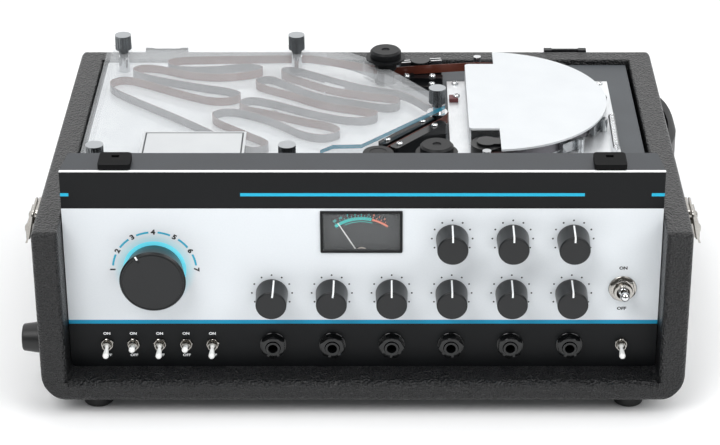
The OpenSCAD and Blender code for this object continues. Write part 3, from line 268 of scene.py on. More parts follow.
def screenPrintedPanel():
    # aluminium sheet, white enamel with screen-printed bands: even satin paint, crisp colour edges
    material, tree, shader = startMaterial("screen printed enamel", Roughness=0.45, Specular_IOR_Level=0.22)
    place = addNode(tree, "ShaderNodeTexCoord")
    axes = addNode(tree, "ShaderNodeSeparateXYZ", None, {"Vector": place.outputs["Object"]})
    x, z = axes.outputs["X"], axes.outputs["Z"]
    dust = addNode(tree, "ShaderNodeTexNoise", {"Scale": 1 / (1.2 * mm), "Detail": 3.0},
                   {"Vector": place.outputs["Object"]})
    lowBand, topBand = band(tree, z, *panelPrint["lowBand"]), band(tree, z, *panelPrint["topBand"])
    lowLine, topLine = band(tree, z, *panelPrint["lowLine"]), band(tree, z, *panelPrint["topLine"])
    edge = band(tree, z, panelPrint["topBand"][1], 180)
    runs = None
    for low, high in panelPrint["lineRuns"]:
        run = band(tree, x, low, high)
        runs = run if runs is None else addNode(tree, "ShaderNodeMath", {"operation": "ADD"},
                                                {0: runs.outputs[0], 1: run.outputs[0]})
    line = addNode(tree, "ShaderNodeMath", {"operation": "MULTIPLY"}, {0: topLine.outputs[0],
        1: runs.outputs[0]})
    base = addNode(tree, "ShaderNodeMix", {"data_type": "RGBA", 6: toLinear(panelPrint["white"]),
                                           7: toLinear("#DDE2E6")}, {0: dust.outputs["Fac"]})
    color = base.outputs[2]
    for mask, paint in ((lowBand, "black"), (topBand, "black"), (lowLine, "blueDark"), (line, "blue"), (edge,
        "edge")):
        layer = addNode(tree, "ShaderNodeMix", {"data_type": "RGBA", 7: toLinear(panelPrint[paint])},
                        {0: mask.outputs[0], 6: color})
        color = layer.outputs[2]
    # light of the lit ring on the paint round the mode knob
    modeX, modeZ = controls["modeAt"]
    reach = addNode(tree, "ShaderNodeVectorMath", {"operation": "DISTANCE", 1: (modeX * mm, panelY * mm,
        modeZ * mm)},
                    {0: place.outputs["Object"]})
    halo = addNode(tree, "ShaderNodeMapRange", {"interpolation_type": "SMOOTHSTEP",
                                                "From Min": panelPrint["haloFrom"] * mm,
                                                "From Max": panelPrint["haloTo"] * mm, "To Min": 0.7,
                                                "To Max": 0.0},
                   {"Value": reach.outputs["Value"]})
    lit = addNode(tree, "ShaderNodeMix", {"data_type": "RGBA", 7: toLinear(panelPrint["halo"])},
                  {0: halo.outputs["Result"], 6: color})
    color = lit.outputs[2]
    bump = addNode(tree, "ShaderNodeBump", {"Strength": 0.15, "Distance": 0.02 * mm},
                   {"Height": dust.outputs["Fac"]})
    tree.links.new(color, shader.inputs["Base Color"])
    tree.links.new(bump.outputs["Normal"], shader.inputs["Normal"])
    return material


acrylicGlow = {"above": 150, "inFrontOf": 18, "rightOf": -29.5, "alpha": (0.13, 0.21), "edgeAlpha": 0.55,
               "sheet": "#EEF1F3", "edge": "#2489A5"}


def castAcrylic():
    # cast acrylic sheet: clear, milky in the studio light, its cut edges glow blue-green
    material, tree, shader = startMaterial("cast acrylic", Roughness=0.06, IOR=1.49, Specular_IOR_Level=0.6)
    place = addNode(tree, "ShaderNodeNewGeometry")
    axes = addNode(tree, "ShaderNodeSeparateXYZ", None, {"Vector": place.outputs["True Normal"]})
    flat = addNode(tree, "ShaderNodeMath", {"operation": "ABSOLUTE"}, {0: axes.outputs["Z"]})
    cutEdge = addNode(tree, "ShaderNodeMath", {"operation": "LESS_THAN", 1: 0.5}, {0: flat.outputs[0]})
    spots = addNode(tree, "ShaderNodeTexCoord")
    high = addNode(tree, "ShaderNodeSeparateXYZ", None, {"Vector": spots.outputs["Object"]})
    sheetLevel = addNode(tree, "ShaderNodeMath", {"operation": "GREATER_THAN", 1: acrylicGlow["above"] * mm},
                         {0: high.outputs["Z"]})
    inFront = addNode(tree, "ShaderNodeMath", {"operation": "LESS_THAN", 1: acrylicGlow["inFrontOf"] * mm},
                      {0: high.outputs["Y"]})
    toRight = addNode(tree, "ShaderNodeMath", {"operation": "GREATER_THAN", 1: acrylicGlow["rightOf"] * mm},
                      {0: high.outputs["X"]})
    glowing = cutEdge
    for limit in (sheetLevel, inFront, toRight):
        glowing = addNode(tree, "ShaderNodeMath", {"operation": "MULTIPLY"}, {0: glowing.outputs[0],
            1: limit.outputs[0]})
    haze = addNode(tree, "ShaderNodeTexNoise", {"Scale": 1 / (30 * mm), "Detail": 3.0},
                   {"Vector": spots.outputs["Object"]})
    color = addNode(tree, "ShaderNodeMix", {"data_type": "RGBA", 6: toLinear(acrylicGlow["sheet"]),
                                            7: toLinear(acrylicGlow["edge"])},
                    {0: glowing.outputs[0]})
    clear = addNode(tree, "ShaderNodeMapRange", {"To Min": acrylicGlow["alpha"][0],
                                                 "To Max": acrylicGlow["alpha"][1]},
                    {"Value": haze.outputs["Fac"]})
    alpha = addNode(tree, "ShaderNodeMath", {"operation": "MULTIPLY_ADD", 1: acrylicGlow["edgeAlpha"],
                                             "use_clamp": True},
                    {0: glowing.outputs[0], 2: clear.outputs["Result"]})
    tree.links.new(color.outputs[2], shader.inputs["Base Color"])
    tree.links.new(alpha.outputs[0], shader.inputs["Alpha"])
    return material


def litRing():
    # light-guiding acrylic ring, lit from behind: an even cyan glow round the mode knob
    material = surfaceMaterial("lit acrylic ring", "#5FD9EE", "#86E7F6", 0.3, grain=1.0, depth=0.002)
    shader = material.node_tree.nodes["Principled BSDF"]
    shader.inputs["Emission Color"].default_value = toLinear("#4FD6F2")
    shader.inputs["Emission Strength"].default_value = 0.3
    return material


def knurledNickel():
    # nickel plated screw: satin top with a painted highlight, its colour made lighter where the face turns up
    # to the top light; darker side with a fine knurl that catches narrow lights
    material, tree, shader = startMaterial("knurled nickel", Metallic=0.9)
    shape = addNode(tree, "ShaderNodeNewGeometry")
    axes = addNode(tree, "ShaderNodeSeparateXYZ", None, {"Vector": shape.outputs["Normal"]})
    top = addNode(tree, "ShaderNodeMath", {"operation": "GREATER_THAN", 1: 0.6}, {0: axes.outputs["Z"]})
    place = addNode(tree, "ShaderNodeTexCoord")
    scuffs = addNode(tree, "ShaderNodeTexNoise", {"Scale": 1 / (2 * mm), "Detail": 3.0},
                     {"Vector": place.outputs["Object"]})
    side = addNode(tree, "ShaderNodeMix", {"data_type": "RGBA", 6: toLinear("#55585A"),
                                           7: toLinear("#7B7E80")},
                   {0: scuffs.outputs["Fac"]})
    # painted highlight: faces that point up get the lighter colour
    color = addNode(tree, "ShaderNodeMix", {"data_type": "RGBA", 7: toLinear("#A4A7AA")},
                    {0: top.outputs[0], 6: side.outputs[2]})
    gloss = addNode(tree, "ShaderNodeMath", {"operation": "MULTIPLY_ADD", 1: 0.2, 2: 0.18},
                    {0: top.outputs[0]})
    ridges = addNode(tree, "ShaderNodeTexWave", {"wave_type": "BANDS", "bands_direction": "DIAGONAL",
                                                 "Scale": 1 / (4 * mm)},
                     {"Vector": place.outputs["Object"]})
    bump = addNode(tree, "ShaderNodeBump", {"Strength": 0.35, "Distance": 0.1 * mm},
                   {"Height": ridges.outputs["Fac"]})
    tree.links.new(color.outputs[2], shader.inputs["Base Color"])
    tree.links.new(gloss.outputs[0], shader.inputs["Roughness"])
    tree.links.new(bump.outputs["Normal"], shader.inputs["Normal"])
    return material


def printInk(name, color, roughness=0.45):
    # screen-printing ink: flat colour with a faint weave of the screen
    return surfaceMaterial(name, color, color, roughness, grain=0.4, depth=0.01, spread=0.04)


# colour, lighter colour, roughness, metallic, then sizes in mm and shader sockets
materials = {
    "cloth": leathercloth(),
    "acrylic": castAcrylic(),
    # moulded rubber: near black, with soft highlights
    "rubber": surfaceMaterial("moulded rubber", "#0B0B0C", "#151617", 0.42, grain=0.5, depth=0.03),
    # injection-moulded ABS, fine spark texture: soft broad highlights
    "blackAbs": surfaceMaterial("moulded abs", "#08090A", "#101113", 0.42, grain=0.35, depth=0.03,
                                Specular_IOR_Level=0.25),
    # moulded phenolic knob: near black, satin, with a soft light along its side
    "knob": surfaceMaterial("moulded phenolic", "#0B0D0F", "#131517", 0.3, grain=0.4, depth=0.008,
                            spread=0.04,
                            Specular_IOR_Level=0.42),
    # nickel-plated steel: bright, slightly soft reflections
    "nickel": surfaceMaterial("nickel plate", "#8F8C87", "#B4B1AC", 0.2, 1.0, grain=0.8, depth=0.006,
                              spread=0.06),
    # polished chrome: mirror with hairline wipe marks
    "chrome": surfaceMaterial("polished chrome", "#C9CBCD", "#E2E3E4", 0.1, 1.0, grain=0.5, depth=0.003,
                              spread=0.04),
    # grey powder coat of the hood: fine orange peel
    "greyPaint": surfaceMaterial("grey powder coat", "#22252A", "#2C3035", 0.42, grain=0.9, depth=0.02,
                                 spread=0.05,
                                 Specular_IOR_Level=0.35),
    "knurled": knurledNickel(),
    # dull black moulding of the lid catches
    "mattBlack": surfaceMaterial("dull black moulding", "#060607", "#0C0D0E", 0.7, grain=0.4, depth=0.03,
                                 Specular_IOR_Level=0.12),
    # polished black moulding: dark, with sharp highlights on its rims
    "glossBlack": surfaceMaterial("polished black moulding", "#08090A", "#0E0F10", 0.18, grain=0.5,
                                  depth=0.004,
                                  spread=0.04),
    # grey powder coat of the deck, a shade lighter than the hood
    "deckPaint": surfaceMaterial("light grey powder coat", "#34383C", "#404448", 0.42, grain=0.9, depth=0.02,
                                 spread=0.05, Specular_IOR_Level=0.35),
    # white powder coat on sheet steel: even and bright
    "whitePaint": surfaceMaterial("white powder coat", "#C8CBCE", "#CFD2D4", 0.36, grain=0.9, depth=0.012,
                                  spread=0.05),
    # opal white acrylic floor: smooth, with a clear sheen
    "opal": surfaceMaterial("opal acrylic", "#C0C3C6", "#CBCED0", 0.12, grain=5.0, depth=0.001, spread=0.03,
                            Specular_IOR_Level=0.8),
    # aluminium plate, brushed along the machine: light, with streaked reflections
    "brushed": surfaceMaterial("brushed aluminium", "#CDD0D2", "#E2E4E6", 0.32, 0.65, grain=0.5, depth=0.006,
                               stretch=(1, 0.06, 1), spread=0.08),
    # zinc-plated sheet steel: grey, with cloudy spangles
    "zinc": surfaceMaterial("zinc plate", "#8C9193", "#A6ABAD", 0.4, 1.0, grain=6.0, depth=0.004,
                            spread=0.12),
    # turned and polished steel: bright bands along the turning marks
    "steel": surfaceMaterial("turned steel", "#A5A8AA", "#C6C8CA", 0.2, 1.0, grain=0.5, depth=0.006,
                             stretch=(1, 1, 8), spread=0.06),
    # black anodised bar, polished: dark, with sharp reflections
    "anodised": surfaceMaterial("black anodised aluminium", "#0F1011", "#1B1C1E", 0.18, 0.3, grain=0.4,
                                depth=0.004),
    # oxide tape coating: brown, smooth, low sheen
    "tape": surfaceMaterial("oxide coated tape", "#4A241C", "#663528", 0.26, 0.2, grain=3.0, depth=0.002,
                            spread=0.03,
                            stretch=(1, 1, 6)),
    # back-coated side of the tape: grey, slightly glossier
    "tapeBack": surfaceMaterial("carbon back coating", "#4A484B", "#67656A", 0.25, 0.5, grain=3.0,
                                depth=0.002, spread=0.03,
                                stretch=(1, 1, 6)),
    # turned brass: warm and bright
    "brass": surfaceMaterial("turned brass", "#A9873F", "#C9A85A", 0.26, 1.0, grain=0.5, depth=0.006),
    # white moulded ABS of the small toggle levers and the needle: clean, with small highlights
    "whiteAbs": surfaceMaterial("white moulded abs", "#ECECEA", "#F4F4F2", 0.32, grain=0.5, depth=0.008,
                                spread=0.04),
    # hammered paint of the motor: rippled highlights
    "motorPaint": surfaceMaterial("hammered grey paint", "#5D6165", "#74787C", 0.4, 0.3, grain=2.0,
                                  depth=0.05),
    # varnished sheet stack of the transformer: brown, with fine stacked lines
    "laminations": surfaceMaterial("varnished laminations", "#3A332E", "#564C44", 0.5, 0.3, grain=0.5,
                                   depth=0.08,
                                   stretch=(0.02, 0.02, 1)),
    # lacquered glass-fibre board: green, slightly glossy
    "board": surfaceMaterial("lacquered board", "#1E4A30", "#2F6645", 0.35, grain=0.5, depth=0.02),
    # moulded terminal block: dark red, satin
    "maroon": surfaceMaterial("moulded maroon block", "#4A1F22", "#632C2E", 0.4, grain=0.4, depth=0.02),
    "litRing": litRing(),
    # printing inks and the label's paper: flat and matt
    "inkWhite": printInk("white ink", "#F2F4F5"),
    "inkBlack": printInk("black ink", "#0C0D0F"),
    "inkBlue": printInk("blue ink", "#1FA8C8"),
    "paper": surfaceMaterial("matt label paper", "#BCBEC0", "#C4C6C7", 0.7, grain=0.4, depth=0.01),
    "inkGrey": printInk("grey ink", "#2E3135"),
    "brightInk": printInk("bright moulded edge", "#D9CFC2", 0.3),
}
print("materials made:", len(materials))

controls = {
    "columns": [-60.5 + 39.8 * i for i in range(6)], "lowRow": 83.3, "highRow": 124.0, "jackRow": 44.0,
    "modeAt": (-137.7, 101.0), "toggleX": [-172 + 17.7 * i for i in range(5)] + [173.3], "toggleRow": 44.6,
    "powerAt": (172.5, 86.8),
}
materials["panel"] = screenPrintedPanel()

nodeFinish = {
    "cabinet": "cloth", "rubber_feet": "rubber", "carry_handle": "blackAbs", "latch_bases": "nickel",
    "lid_hinges": "anodised", "mains_inlet": "blackAbs", "chassis_tray": "zinc", "main_deck": "deckPaint",
    "front_panel": "panel", "panel_hood": "greyPaint", "lid_catches": "mattBlack", "control_bodies": "nickel",
    "jack_sockets": "glossBlack", "meter_case": "blackAbs", "tank_floor": "opal", "tank_cover": "acrylic",
    "thumb_screws": "knurled", "deck_posts": "chrome", "guide_bars": "anodised", "erase_head": "anodised",
    "head_plate": "brushed", "head_cover": "whitePaint", "tape_heads": "steel", "pressure_pads": "steel",
    "drive_motor": "motorPaint", "drive_belt": "rubber", "power_transformer": "laminations",
    "circuit_board": "board", "mode_knob": "knob", "power_toggle": "chrome", "latch_lever_left": "nickel",
    "latch_lever_right": "nickel", "draw_loop_left": "nickel", "draw_loop_right": "nickel",
    "rear_roller": "blackAbs", "front_roller": "blackAbs", "pinch_roller": "rubber", "pinch_arm": "anodised",
    "capstan": "steel", "motor_pulley": "brass", "meter_needle": "whiteAbs",
}
knobNames = ["input", "chorus_rate", "chorus_depth", "reverb", "speed", "echo", "bass", "treble", "feedback"]
toggleNames = ["direct", "motor", "overdub", "echo", "chorus", "level"]
for name in knobNames:
    nodeFinish[name + "_knob"] = "knob"
for name in toggleNames:
    nodeFinish[name + "_toggle"] = "whiteAbs"
for name, finish in nodeFinish.items():
    dress(name, materials[finish])
print("nodes dressed")


# Knobs in the order of knobNames: x, z and how far the knob leans from upright, in degrees
knobSpots = [(controls["columns"][i], controls["lowRow"], 8 if i < 2 else 0) for i in range(6)]
knobSpots += [(controls["columns"][i], controls["highRow"], 0) for i in (3, 4, 5)]

panelMarks = {"ink": 0.04, "dotRadius": 0.62, "dotRing": 13.4, "dots": 11, "dotStep": 30, "numberRing": 27.6,
              "numberSize": 4.6, "numberBold": 0.055, "powerBold": 0.05, "switchSize": 2.6,
              "powerRows": (15.1, -15.3), "switchRows": (7.6, -9.0), "dash": 1.35, "dashHalf": 8.8,
              "glowRing": (17.6, 20.9), "wordSize": 3.0}


# Flat piece of print between two radii and two angles, angle 0 up and positive to the right
def arcPrint(inner, outer, start, stop, matrix, thickness, steps=24):
    angles = [radians(start + (stop - start) * k / steps) for k in range(steps + 1)]
    ring = [(inner * sin(a), inner * cos(a)) for a in angles] + [(outer * sin(a),
        outer * cos(a)) for a in angles[::-1]]
    vertices = [(x, y, z) for z in (0, thickness) for x, y in ring]
    n, faces = len(ring), []
    for k in range(steps):
        inside, outside = [k, k + 1], [n - 2 - k, n - 1 - k]
        faces.append([n + inside[0], n + inside[1], n + outside[0], n + outside[1]])
        faces.append([inside[1], inside[0], outside[1], outside[0]])
    for k in range(n):
        faces.append([k, (k + 1) % n, n + (k + 1) % n, n + k])
    return moved((vertices, faces), matrix)


def panelPrints():
    p = panelMarks
    dots = []
    for x, z, lean in knobSpots:
        for k in range(p["dots"]):
            angle = radians((k - (p["dots"] - 1) / 2) * p["dotStep"])
            spot = onPanel(x + p["dotRing"] * sin(angle), z + p["dotRing"] * cos(angle))
            dots.append(moved(turned([(p["dotRadius"], 0), (p["dotRadius"], p["ink"])], segments=16), spot))
    makePiece("dial_dots", meshFrom(dots), materials["inkBlack"], smooth=0)
    numbers, dashes = [], []
    modeX, modeZ = controls["modeAt"]
    for k in range(7):
        angle = radians(-90 + 30 * k)
        spot = onPanel(modeX + p["numberRing"] * sin(angle), modeZ + p["numberRing"] * cos(angle), -angle)
        numbers.append(textMesh(str(k + 1), p["numberSize"], p["ink"], spot, bold=p["numberBold"]))
        if k < 6:
            middle = -75 + 30 * k
            dashes.append(arcPrint(p["numberRing"] - p["dash"] / 2, p["numberRing"] + p["dash"] / 2,
                                   middle - p["dashHalf"], middle + p["dashHalf"], onPanel(modeX, modeZ),
                                   p["ink"]))
    makePiece("mode_numbers", meshFrom(numbers), materials["inkBlack"], smooth=0)
    makePiece("mode_dashes", meshFrom(dashes), materials["inkBlue"], smooth=0)
    glow = arcPrint(*p["glowRing"], -180, 180, onPanel(modeX, modeZ), p["ink"], 96)
    makePiece("mode_ring", meshFrom([glow]), materials["litRing"], smooth=0)
    words, powerWords = [], []
    powerX, powerZ = controls["powerAt"]
    powerWords.append(textMesh("ON", p["wordSize"], p["ink"], onPanel(powerX, powerZ + p["powerRows"][0]),
                               bold=p["powerBold"]))
    powerWords.append(textMesh("OFF", p["wordSize"], p["ink"], onPanel(powerX, powerZ + p["powerRows"][1]),
                               bold=p["powerBold"]))
    for x in controls["toggleX"][:5]:
        words.append(textMesh("ON", p["switchSize"], p["ink"], onPanel(x,
            controls["toggleRow"] + p["switchRows"][0])))
        words.append(textMesh("OFF", p["switchSize"], p["ink"], onPanel(x,
            controls["toggleRow"] + p["switchRows"][1])))
    makePiece("power_words", meshFrom(powerWords), materials["inkBlack"], smooth=0)
    makePiece("toggle_words", meshFrom(words), materials["inkWhite"], smooth=0)


panelPrints()

pointer = {"width": 1.12, "top": 10.66, "front": 10.2, "face": 18.5, "reach": 6.3, "floor": 9.92}


# White inlay along a knob's top and a little way down its face
def knobPointers():
    for name, (x, z, lean) in zip(knobNames, knobSpots):
        half = pointer["width"] / 2
        spot = onPanel(x, z, -radians(lean))
        low, edge, face = pointer["floor"], pointer["front"], pointer["face"]
        path = [(pointer["top"], 2.0), (edge, face - 1.2), (edge - 0.34, face - 0.36), (edge - 1.1,
            face - 0.01),
                (pointer["reach"], face - 0.01)]
        inner = [(low, 2.0), (low, face - 1.2), (low - 0.3, face - 0.37), (pointer["reach"], face - 0.38)]
        vertices = [(s * half, y, h) for s in (-1, 1) for y, h in path + inner[::-1]]
        n = len(path) + len(inner)
        faces = [list(range(n))[::-1], [n + k for k in range(n)]]
        faces += [[k, (k + 1) % n, n + (k + 1) % n, n + k] for k in range(n)]
        makePiece("pointer_" + name, meshFrom([moved((vertices, faces), spot)]), materials["inkWhite"],
                  name + "_knob", smooth=0)


knobPointers()

modeMark = {"turn": -30, "half": 0.62, "low": 18.7, "high": 21.5, "sunk": 17.62, "face": 17.95}


# White inlay in the mode knob's rim, pointing at the third number at rest
def modePointer():
    m = modeMark
    spot = onPanel(*controls["modeAt"], -radians(m["turn"]))
    mark = block((-m["half"], m["low"], m["sunk"]), (m["half"], m["high"], m["face"]), 0.05)
    makePiece("pointer_mode", meshFrom([moved(mark, spot)]), materials["inkWhite"], "mode_knob", smooth=0)


modePointer()

# nuts: width across flats, height, bore. Washers: bore, radius, height
nuts = {"toggle": (8.0, 2.0, 3.02), "knob": (10, 2, 3.52), "mode": (13, 2, 4.82), "power": (15.0, 4.0, 6.02),
        "jack": (15.0, 5.5, 4.72), "powerWasher": (6.1, 9.3, 1.0), "jackWasher": (4.8, 9.1, 1.0),
        "toggleTurn": 11, "jackTurn": 13, "powerTurn": 0.2}


# Hexagon nut with its corners chamfered, standing on z = 0
def hexNut(flats, height, bore, base=0.0, turn=0.0, segments=72):
    rings = []
    for k in range(segments):
        angle = 2 * pi * k / segments
        reach = flats / 2 / cos((angle + pi / 6) % (pi / 3) - pi / 6)
        over = reach - flats / 2
        rings.append([(reach - over * 0.55, base), (reach, base + over * 0.4), (reach,
            height - 0.15 - over * 0.55),
                      (flats / 2 * 0.975, height), (bore + 0.45, height), (bore, height - 0.45), (bore,
                          base)])
    count = len(rings[0])
    vertices, faces = [], []
    for k in range(segments):
        angle = 2 * pi * k / segments + turn
        vertices += [(r * cos(angle), r * sin(angle), h) for r, h in rings[k]]
    for k in range(segments):
        for i in range(count):
            a, b = k * count + i, k * count + (i + 1) % count
            c, d = ((k + 1) % segments) * count + (i + 1) % count, ((k + 1) % segments) * count + i
            faces.append([a, d, c, b])
    return vertices, faces


def washer(inner, outer, height, segments=64):
    profile = [(inner, 0), (outer - 0.2, 0), (outer, 0.2), (outer, height - 0.25), (outer - 0.25, height),
               (inner, height)]
    vertices, faces = [], []
    count = len(profile)
    for k in range(segments):
        angle = 2 * pi * k / segments
        vertices += [(r * cos(angle), r * sin(angle), h) for r, h in profile]
    for k in range(segments):
        for i in range(count):
            a, b = k * count + i, k * count + (i + 1) % count
            c, d = ((k + 1) % segments) * count + (i + 1) % count, ((k + 1) % segments) * count + i
            faces.append([a, d, c, b])
    return vertices, faces


def panelNuts():
    bright, black = [], []
    for i, x in enumerate(controls["toggleX"]):
        bright.append(moved(hexNut(*nuts["toggle"], turn=radians(nuts["toggleTurn"] * i)), onPanel(x,
            controls["toggleRow"])))
    for x, z, lean in knobSpots:
        bright.append(moved(hexNut(*nuts["knob"]), onPanel(x, z)))
    bright.append(moved(hexNut(*nuts["mode"]), onPanel(*controls["modeAt"])))
    powerSpot = onPanel(*controls["powerAt"])
    bright.append(moved(washer(*nuts["powerWasher"]), powerSpot))
    bright.append(moved(hexNut(*nuts["power"], base=nuts["powerWasher"][2], turn=nuts["powerTurn"]),
                        powerSpot))
    for i, x in enumerate(controls["columns"]):
        spot = onPanel(x, controls["jackRow"])
        black.append(moved(washer(*nuts["jackWasher"]), spot))
        black.append(moved(hexNut(*nuts["jack"], base=nuts["jackWasher"][2],
                                  turn=radians(nuts["jackTurn"] * i)), spot))
    brightNuts = makePiece("bright_nuts", meshFrom(bright), materials["nickel"])
    blackNuts = makePiece("jack_nuts", meshFrom(black), materials["glossBlack"])
    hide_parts("panel_nuts")
    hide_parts("panel_nuts")


panelNuts()
print("panel print, pointers and nuts made")


meter = {"pivotX": -0.8, "dialY": -125.08, "pivotZ": 107.2, "arcOuter": 29.2, "arcInner": 27.0,
         "lowArc": (25.6, 26.0), "lowEnds": (-25, 16), "split": 13.5, "ends": (-38, 38), "card": ((-25.8,
             -3.6), (25.8, 35.8)),
         "hub": (3.9, 4.6), "ribZ": 4.3, "ribHalf": 12.5, "hubDrop": 2.0, "hubHalf": 62}


def meterPieces():
    face = surfaceMaterial("matt dial card", "#1B1D20", "#272A2D", 0.7, grain=0.4, depth=0.005)
    cyan = printInk("cyan dial ink", "#14D2CB")
    salmon = printInk("salmon dial ink", "#F58666")
    pivot = Matrix.Translation((0, meter["dialY"] - panelY, 0)) @ onPanel(meter["pivotX"], meter["pivotZ"])
    card = moved(block((*meter["card"][0], 0), (*meter["card"][1], 0.15), 0.05), pivot)
    makePiece("dial_card", meshFrom([card]), face, smooth=0)
    up = Matrix.Translation((0, 0, 0.16))
    low, high = meter["ends"]
    blueParts = [arcPrint(meter["arcInner"], meter["arcOuter"], low, meter["split"], pivot @ up, 0.05, 40),
                 arcPrint(*meter["lowArc"], *meter["lowEnds"], pivot @ up, 0.05, 40)]
    redParts = [arcPrint(meter["arcInner"] + 0.4, meter["arcOuter"] - 0.4, meter["split"] + 1, high,
                         pivot @ up, 0.05)]
    ticks = [-35, -28, -22, -17, -12.5, -8, -4, 0, 4, 8, 11]
    for angle in ticks:
        blueParts.append(arcPrint(meter["arcOuter"] + 0.3, meter["arcOuter"] + 1.3, angle - 0.35,
                                  angle + 0.35,
                                  pivot @ up, 0.05, 2))
    for angle in (15, 20, 26, 32):
        redParts.append(arcPrint(meter["arcOuter"], meter["arcOuter"] + 1.1, angle - 0.4, angle + 0.4,
                                 pivot @ up, 0.05, 2))
    for angle, words in ((-34, "20"), (-26, "10"), (-17, "7"), (-8, "5"), (0, "3"), (9, "1")):
        spot = pivot @ up @ Matrix.Rotation(-radians(angle), 4, "Z") @ Matrix.Translation((0,
            meter["arcOuter"] + 2.4, 0))
        blueParts.append(textMesh(words, 2.1, 0.05, spot))
    for angle, words in ((15, "0"), (22, "1"), (29, "3")):
        spot = pivot @ up @ Matrix.Rotation(-radians(angle), 4, "Z") @ Matrix.Translation((0,
            meter["arcOuter"] + 2.3, 0))
        redParts.append(textMesh(words, 2.0, 0.05, spot))
    makePiece("dial_cyan", meshFrom(blueParts), cyan, smooth=0)
    makePiece("dial_red", meshFrom(redParts), salmon, smooth=0)
    # half-round rim of the movement and the rib at the dial's foot, with a small ring at each end
    foot = pivot @ up @ Matrix.Translation((0, meter["ribZ"], 0))
    hub = foot @ Matrix.Translation((0, -meter["hubDrop"], 0))
    rib = [arcPrint(*meter["hub"], -meter["hubHalf"], meter["hubHalf"], hub, 0.3, 32),
           moved(block((-meter["ribHalf"], -0.45, 0), (meter["ribHalf"], 0.45, 0.3), 0.05), foot)]
    for side in (-1, 1):
        spot = foot @ Matrix.Translation((side * (meter["ribHalf"] + 1.2), 0, 0))
        rib.append(arcPrint(0.7, 1.1, -180, 180, spot, 0.3, 24))
    makePiece("meter_rib", meshFrom(rib), materials["brightInk"], smooth=0)
    # flat acrylic pane in the bezel
    pane, tree, shader = startMaterial("clear meter pane", Base_Color=toLinear("#F4F7F8"), Roughness=0.04,
                                       IOR=1.49,
                                       Alpha=0.05)
    smear = addNode(tree, "ShaderNodeTexNoise", {"Scale": 1 / (8 * mm), "Detail": 2.0})
    wipe = addNode(tree, "ShaderNodeMapRange", {"To Min": 0.03, "To Max": 0.12},
                   {"Value": smear.outputs["Fac"]})
    tree.links.new(wipe.outputs["Result"], shader.inputs["Roughness"])
    dress("meter_window", pane)


meterPieces()
print("meter made")


tapeArc = {"centre": (87.0, 28.5), "radius": 78.0}


# Finer copy of the tape: the CAD's stretches joined to quads and curved between their ends
def tapeRibbon():
    work = bmesh.new()
    work.from_mesh(nodes["tape_loop"].data)
    bmesh.ops.remove_doubles(work, verts=work.verts, dist=1e-6)
    bmesh.ops.join_triangles(work, faces=work.faces, angle_face_threshold=radians(25),
                             angle_shape_threshold=pi)
    crease = work.edges.layers.float.new("crease_edge")
    for edge in work.edges:
        if len(edge.link_faces) == 2 and edge.calc_face_angle(0) > radians(60):
            edge[crease] = 1.0
    # the side towards the heads carries the oxide: spread from one face of the back to its neighbours
    arcX, arcY = tapeArc["centre"]
    work.faces.ensure_lookup_table()
    spot = Vector((arcX + tapeArc["radius"], arcY, 0)) * mm
    outer = [f for f in work.faces if f.normal.x > 0.7]
    waiting = [min(outer, key=lambda f: (f.calc_center_median() - spot).xy.length)]
    back = set(waiting)
    while waiting:
        for edge in waiting.pop().edges:
            for face in edge.link_faces:
                if face not in back and edge.calc_face_angle(0) < radians(60):
                    back.add(face)
                    waiting.append(face)
    backIndices = [f.index for f in back]
    mesh = bpy.data.meshes.new("tape")
    work.to_mesh(mesh)
    work.free()
    piece = makePiece("tape_ribbon", mesh, materials["tape"], smooth=50)
    mesh.materials.append(materials["tapeBack"])
    for i in backIndices:
        mesh.polygons[i].material_index = 1
    bend = piece.modifiers.new("bend", "SUBSURF")
    bend.levels = bend.render_levels = 2
    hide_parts("tape_loop")


tapeRibbon()

spring = {"from": (175.2, 20.0), "to": (174.4, -36.0), "z": 144.3, "radius": 2.0, "wire": 0.45, "curls": 20,
          "lead": 2.0}


def padSpring():
    s = spring
    start, stop = Vector((*s["from"], s["z"])), Vector((*s["to"], s["z"]))
    axis = (stop - start).normalized()
    side = Vector((-axis.y, axis.x, 0))
    length, up = (stop - start).length, Vector((0, 0, 1))
    curve = bpy.data.curves.new("spring", "CURVE")
    curve.dimensions = "3D"
    curve.bevel_depth = s["wire"] * mm
    curve.bevel_resolution = 4
    curve.use_fill_caps = True
    line = curve.splines.new("POLY")
    steps = s["curls"] * 24
    points = [start - side * -s["radius"]]
    for k in range(steps + 1):
        angle = 2 * pi * k / 24
        along = s["lead"] + (length - 2 * s["lead"]) * k / steps
        points.append(start + axis * along + side * s["radius"] * cos(angle) + up * s["radius"] * sin(angle))
    points.append(stop + side * s["radius"])
    line.points.add(len(points) - 1)
    for point, place in zip(line.points, points):
        point.co = (*(place * mm), 1)
    holder = bpy.data.objects.new("spring_curve", curve)
    bpy.context.scene.collection.objects.link(holder)
    bpy.context.view_layer.update()
    mesh = bpy.data.meshes.new_from_object(holder.evaluated_get(bpy.context.evaluated_depsgraph_get()))
    bpy.data.objects.remove(holder)
    piece = makePiece("draw_spring", mesh, materials["chrome"])
    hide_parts("pad_spring")


padSpring()
print("tape and spring made")


screw = {"radius": 2.6, "recess": 0.42, "depth": 1.1}


# Pan head with a cross recess
def panScrew(x, y, z, radius=2.6, turn=0.6):
    scale = radius / screw["radius"]
    rings = [(2.6, 0), (2.6, 0.7), (2.4, 1.2), (1.95, 1.6), (1.5, 1.78), (1.2, 1.84), (0.9, 1.88), (0.55,
        1.9),
             (0.42, 1.9), (0.3, 1.9), (0.02, 1.9)]

    def cross(px, py, r):
        a, b = px * cos(turn) + py * sin(turn), -px * sin(turn) + py * cos(turn)
        inSlot = min(abs(a), abs(b)) < screw["recess"] * scale and r < 1.62 * scale
        return screw["depth"] * scale if inSlot else 0

    part = turned([(r * scale, h * scale) for r, h in rings], segments=56, cut=cross)
    return moved(part, Matrix.Translation((x, y, z)))


